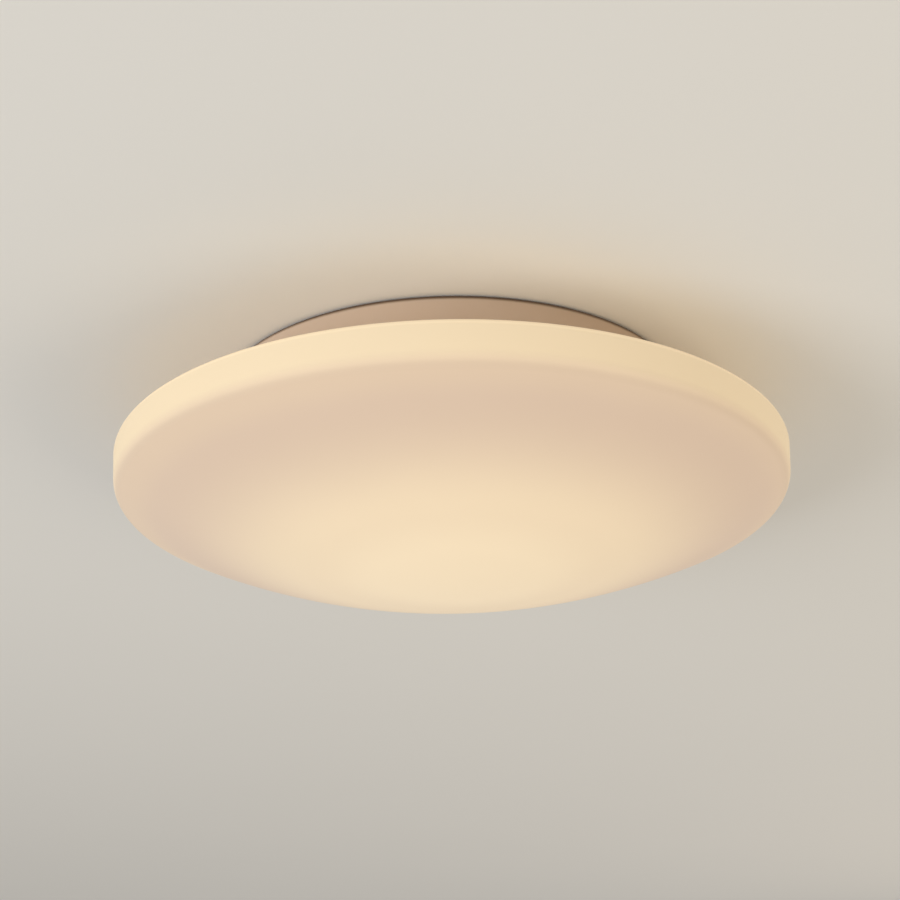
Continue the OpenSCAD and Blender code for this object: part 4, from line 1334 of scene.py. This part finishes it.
def ceiling_material(stage):
    """Matt pale ceiling paint, seen only from below, that fades out far from the light."""
    material, tree, shader = new_material("Ceiling Paint")
    place = add(tree, "ShaderNodeTexCoord").outputs["Object"]
    paint = blended(tree, noise(tree, place, 3.0, 4.0), darker(stage.ceiling, 0.98), stage.ceiling)
    tree.links.new(paint, shader.inputs["Base Color"])
    shader.inputs["Roughness"].default_value = 0.9
    tree.links.new(bump(tree, noise(tree, place, 700.0, 3.0), 0.05 * MM, 0.3), shader.inputs["Normal"])
    away = add(tree, "ShaderNodeVectorMath", {0: place}, operation="LENGTH").outputs["Value"]
    above = add(tree, "ShaderNodeNewGeometry").outputs["Backfacing"]
    behind = maths(tree, "MAXIMUM", above, remap(tree, away, 2.2, 3.9))
    clear = add(tree, "ShaderNodeBsdfTransparent").outputs[0]
    mix = add(tree, "ShaderNodeMixShader", {0: behind, 1: shader.outputs[0], 2: clear}).outputs[0]
    tree.links.new(mix, tree.nodes["Material Output"].inputs["Surface"])
    return material


def ceiling_ring(stage):
    """The ceiling, as a flat ring round the canopy that faces down."""
    inner, outer, count = CANOPY_RADIUS - 3.5 * MM, 4.0, 128
    points = [on_circle(r, math.tau * k / count, 0) for r in (inner, outer) for k in range(count)]
    faces = [(i, (i + 1) % count, count + (i + 1) % count, count + i) for i in range(count)]
    mesh = bpy.data.meshes.new("ceiling")
    mesh.from_pydata(points, [], faces)
    if mesh.polygons[0].normal.z > 0:
        mesh.flip_normals()
    mesh.materials.append(ceiling_material(stage))
    return put("ceiling", mesh)


def lamp(name, place, size, power, tone=(1.0, 1.0, 1.0), mirrored=True, spread=180):
    """A soft square lamp that faces the light within an angle of spread, and shows in its gloss or not."""
    data = bpy.data.lights.new(name, "AREA")
    data.size, data.energy, data.color, data.spread = size, power, tone, math.radians(spread)
    made = put(name, data)
    made.location = place
    made.rotation_euler = (Vector((0, 0, -0.05)) - Vector(place)).to_track_quat("-Z", "Y").to_euler()
    made.visible_glossy = mirrored


def surroundings(stage):
    """A pale world, bright where it is seen and softer where it lights the object."""
    world = bpy.data.worlds.new("Surroundings")
    world.use_nodes = True
    tree = world.node_tree
    ground = tree.nodes["Background"]
    ground.inputs["Color"].default_value = (0.92, 0.9, 0.87, 1.0)
    path = add(tree, "ShaderNodeLightPath").outputs
    seen = maths(tree, "MAXIMUM", path["Is Camera Ray"],
        maths(tree, "MAXIMUM", path["Is Glossy Ray"], path["Is Transmission Ray"]))
    tree.links.new(remap(tree, seen, 0.0, 1.0, stage.around, 0.9), ground.inputs["Strength"])
    return world


def camera():
    """The camera at the photograph's viewing angle, from below and in front."""
    rise, swing, roll, away = math.radians(24.21), math.radians(-0.05), math.radians(-0.84), 1.04356
    pitch = math.radians(22.58)
    ahead = Vector((math.sin(swing) * math.cos(pitch), math.cos(swing) * math.cos(pitch), math.sin(pitch)))
    right = ahead.cross(Vector((0, 0, 1))).normalized()
    up = right.cross(ahead)
    right, up = right * math.cos(roll) + up * math.sin(roll), up * math.cos(roll) - right * math.sin(roll)
    data = bpy.data.cameras.new("Camera")
    data.lens = 72.0
    made = put("Camera", data)
    turn = Matrix((right, up, -ahead)).transposed().to_4x4()
    made.matrix_world = Matrix.Translation((0, -away * math.cos(rise), -away * math.sin(rise))) @ turn
    bpy.context.scene.camera = made


class CEILINGLIGHT_OT_stage(bpy.types.Operator):
    """Make the ceiling, the lamps, the surroundings and the camera"""

    bl_idname = "ceiling_light.stage"
    bl_label = "Stage"

    def execute(self, context):
        stage = context.scene.ceiling_light.stage
        ceiling_ring(stage)
        lamp("Key Lamp", (-1.9, -1.75, -0.95), 1.5, stage.key, (0.92, 0.955, 1.0), mirrored=False, spread=110)
        lamp("Fill Lamp", (1.6, -0.8, -1.1), 1.5, stage.fill, (1.0, 0.83, 0.57))
        lamp("Rear Lamp", (1.15, 1.45, -0.9), 1.2, stage.rear, (1.0, 0.84, 0.66), mirrored=False)
        lamp("Upper Lamp", (0.4, -0.7, 1.5), 1.2, stage.upper)
        context.scene.world = surroundings(stage)
        context.scene.view_settings.view_transform = "Standard"
        camera()
        return {"FINISHED"}


class CEILINGLIGHT_PT_panel(bpy.types.Panel):
    """Lists the light's pieces and their settings"""

    bl_idname = "CEILINGLIGHT_PT_panel"
    bl_label = "Ceiling Light"
    bl_space_type = "VIEW_3D"
    bl_region_type = "UI"
    bl_category = "Ceiling Light"

    def draw(self, context):
        settings = context.scene.ceiling_light
        for operator, group in STEPS:
            box = self.layout.box()
            box.operator(operator.bl_idname)
            if group:
                held = getattr(settings, group)
                for name in held.__annotations__:
                    box.prop(held, name)


STEPS = (
    (CEILINGLIGHT_OT_glass, "glass"),
    (CEILINGLIGHT_OT_canopy, "canopy"),
    (CEILINGLIGHT_OT_tray, "tray"),
    (CEILINGLIGHT_OT_board, "board"),
    (CEILINGLIGHT_OT_fasteners, "fasteners"),
    (CEILINGLIGHT_OT_driver, "wiring"),
    (CEILINGLIGHT_OT_terminals, None),
    (CEILINGLIGHT_OT_leads, None),
    (CEILINGLIGHT_OT_stage, "stage"),
)
CLASSES = (
    GlassSettings, CanopySettings, TraySettings, BoardSettings, WiringSettings, FastenerSettings,
    StageSettings, CeilingLightSettings, *(operator for operator, group in STEPS), CEILINGLIGHT_PT_panel,
)


def register():
    """Makes the settings, operators and panel known to Blender."""
    for made in CLASSES:
        bpy.utils.register_class(made)
    bpy.types.Scene.ceiling_light = PointerProperty(type=CeilingLightSettings)


def unregister():
    """Takes them out again."""
    del bpy.types.Scene.ceiling_light
    for made in reversed(CLASSES):
        bpy.utils.unregister_class(made)


def main():
    """Makes every piece and the stage."""
    register()
    for operator, group in STEPS:
        space, name = operator.bl_idname.split(".")
        getattr(getattr(bpy.ops, space), name)()


if __name__ == "__main__":
    main()
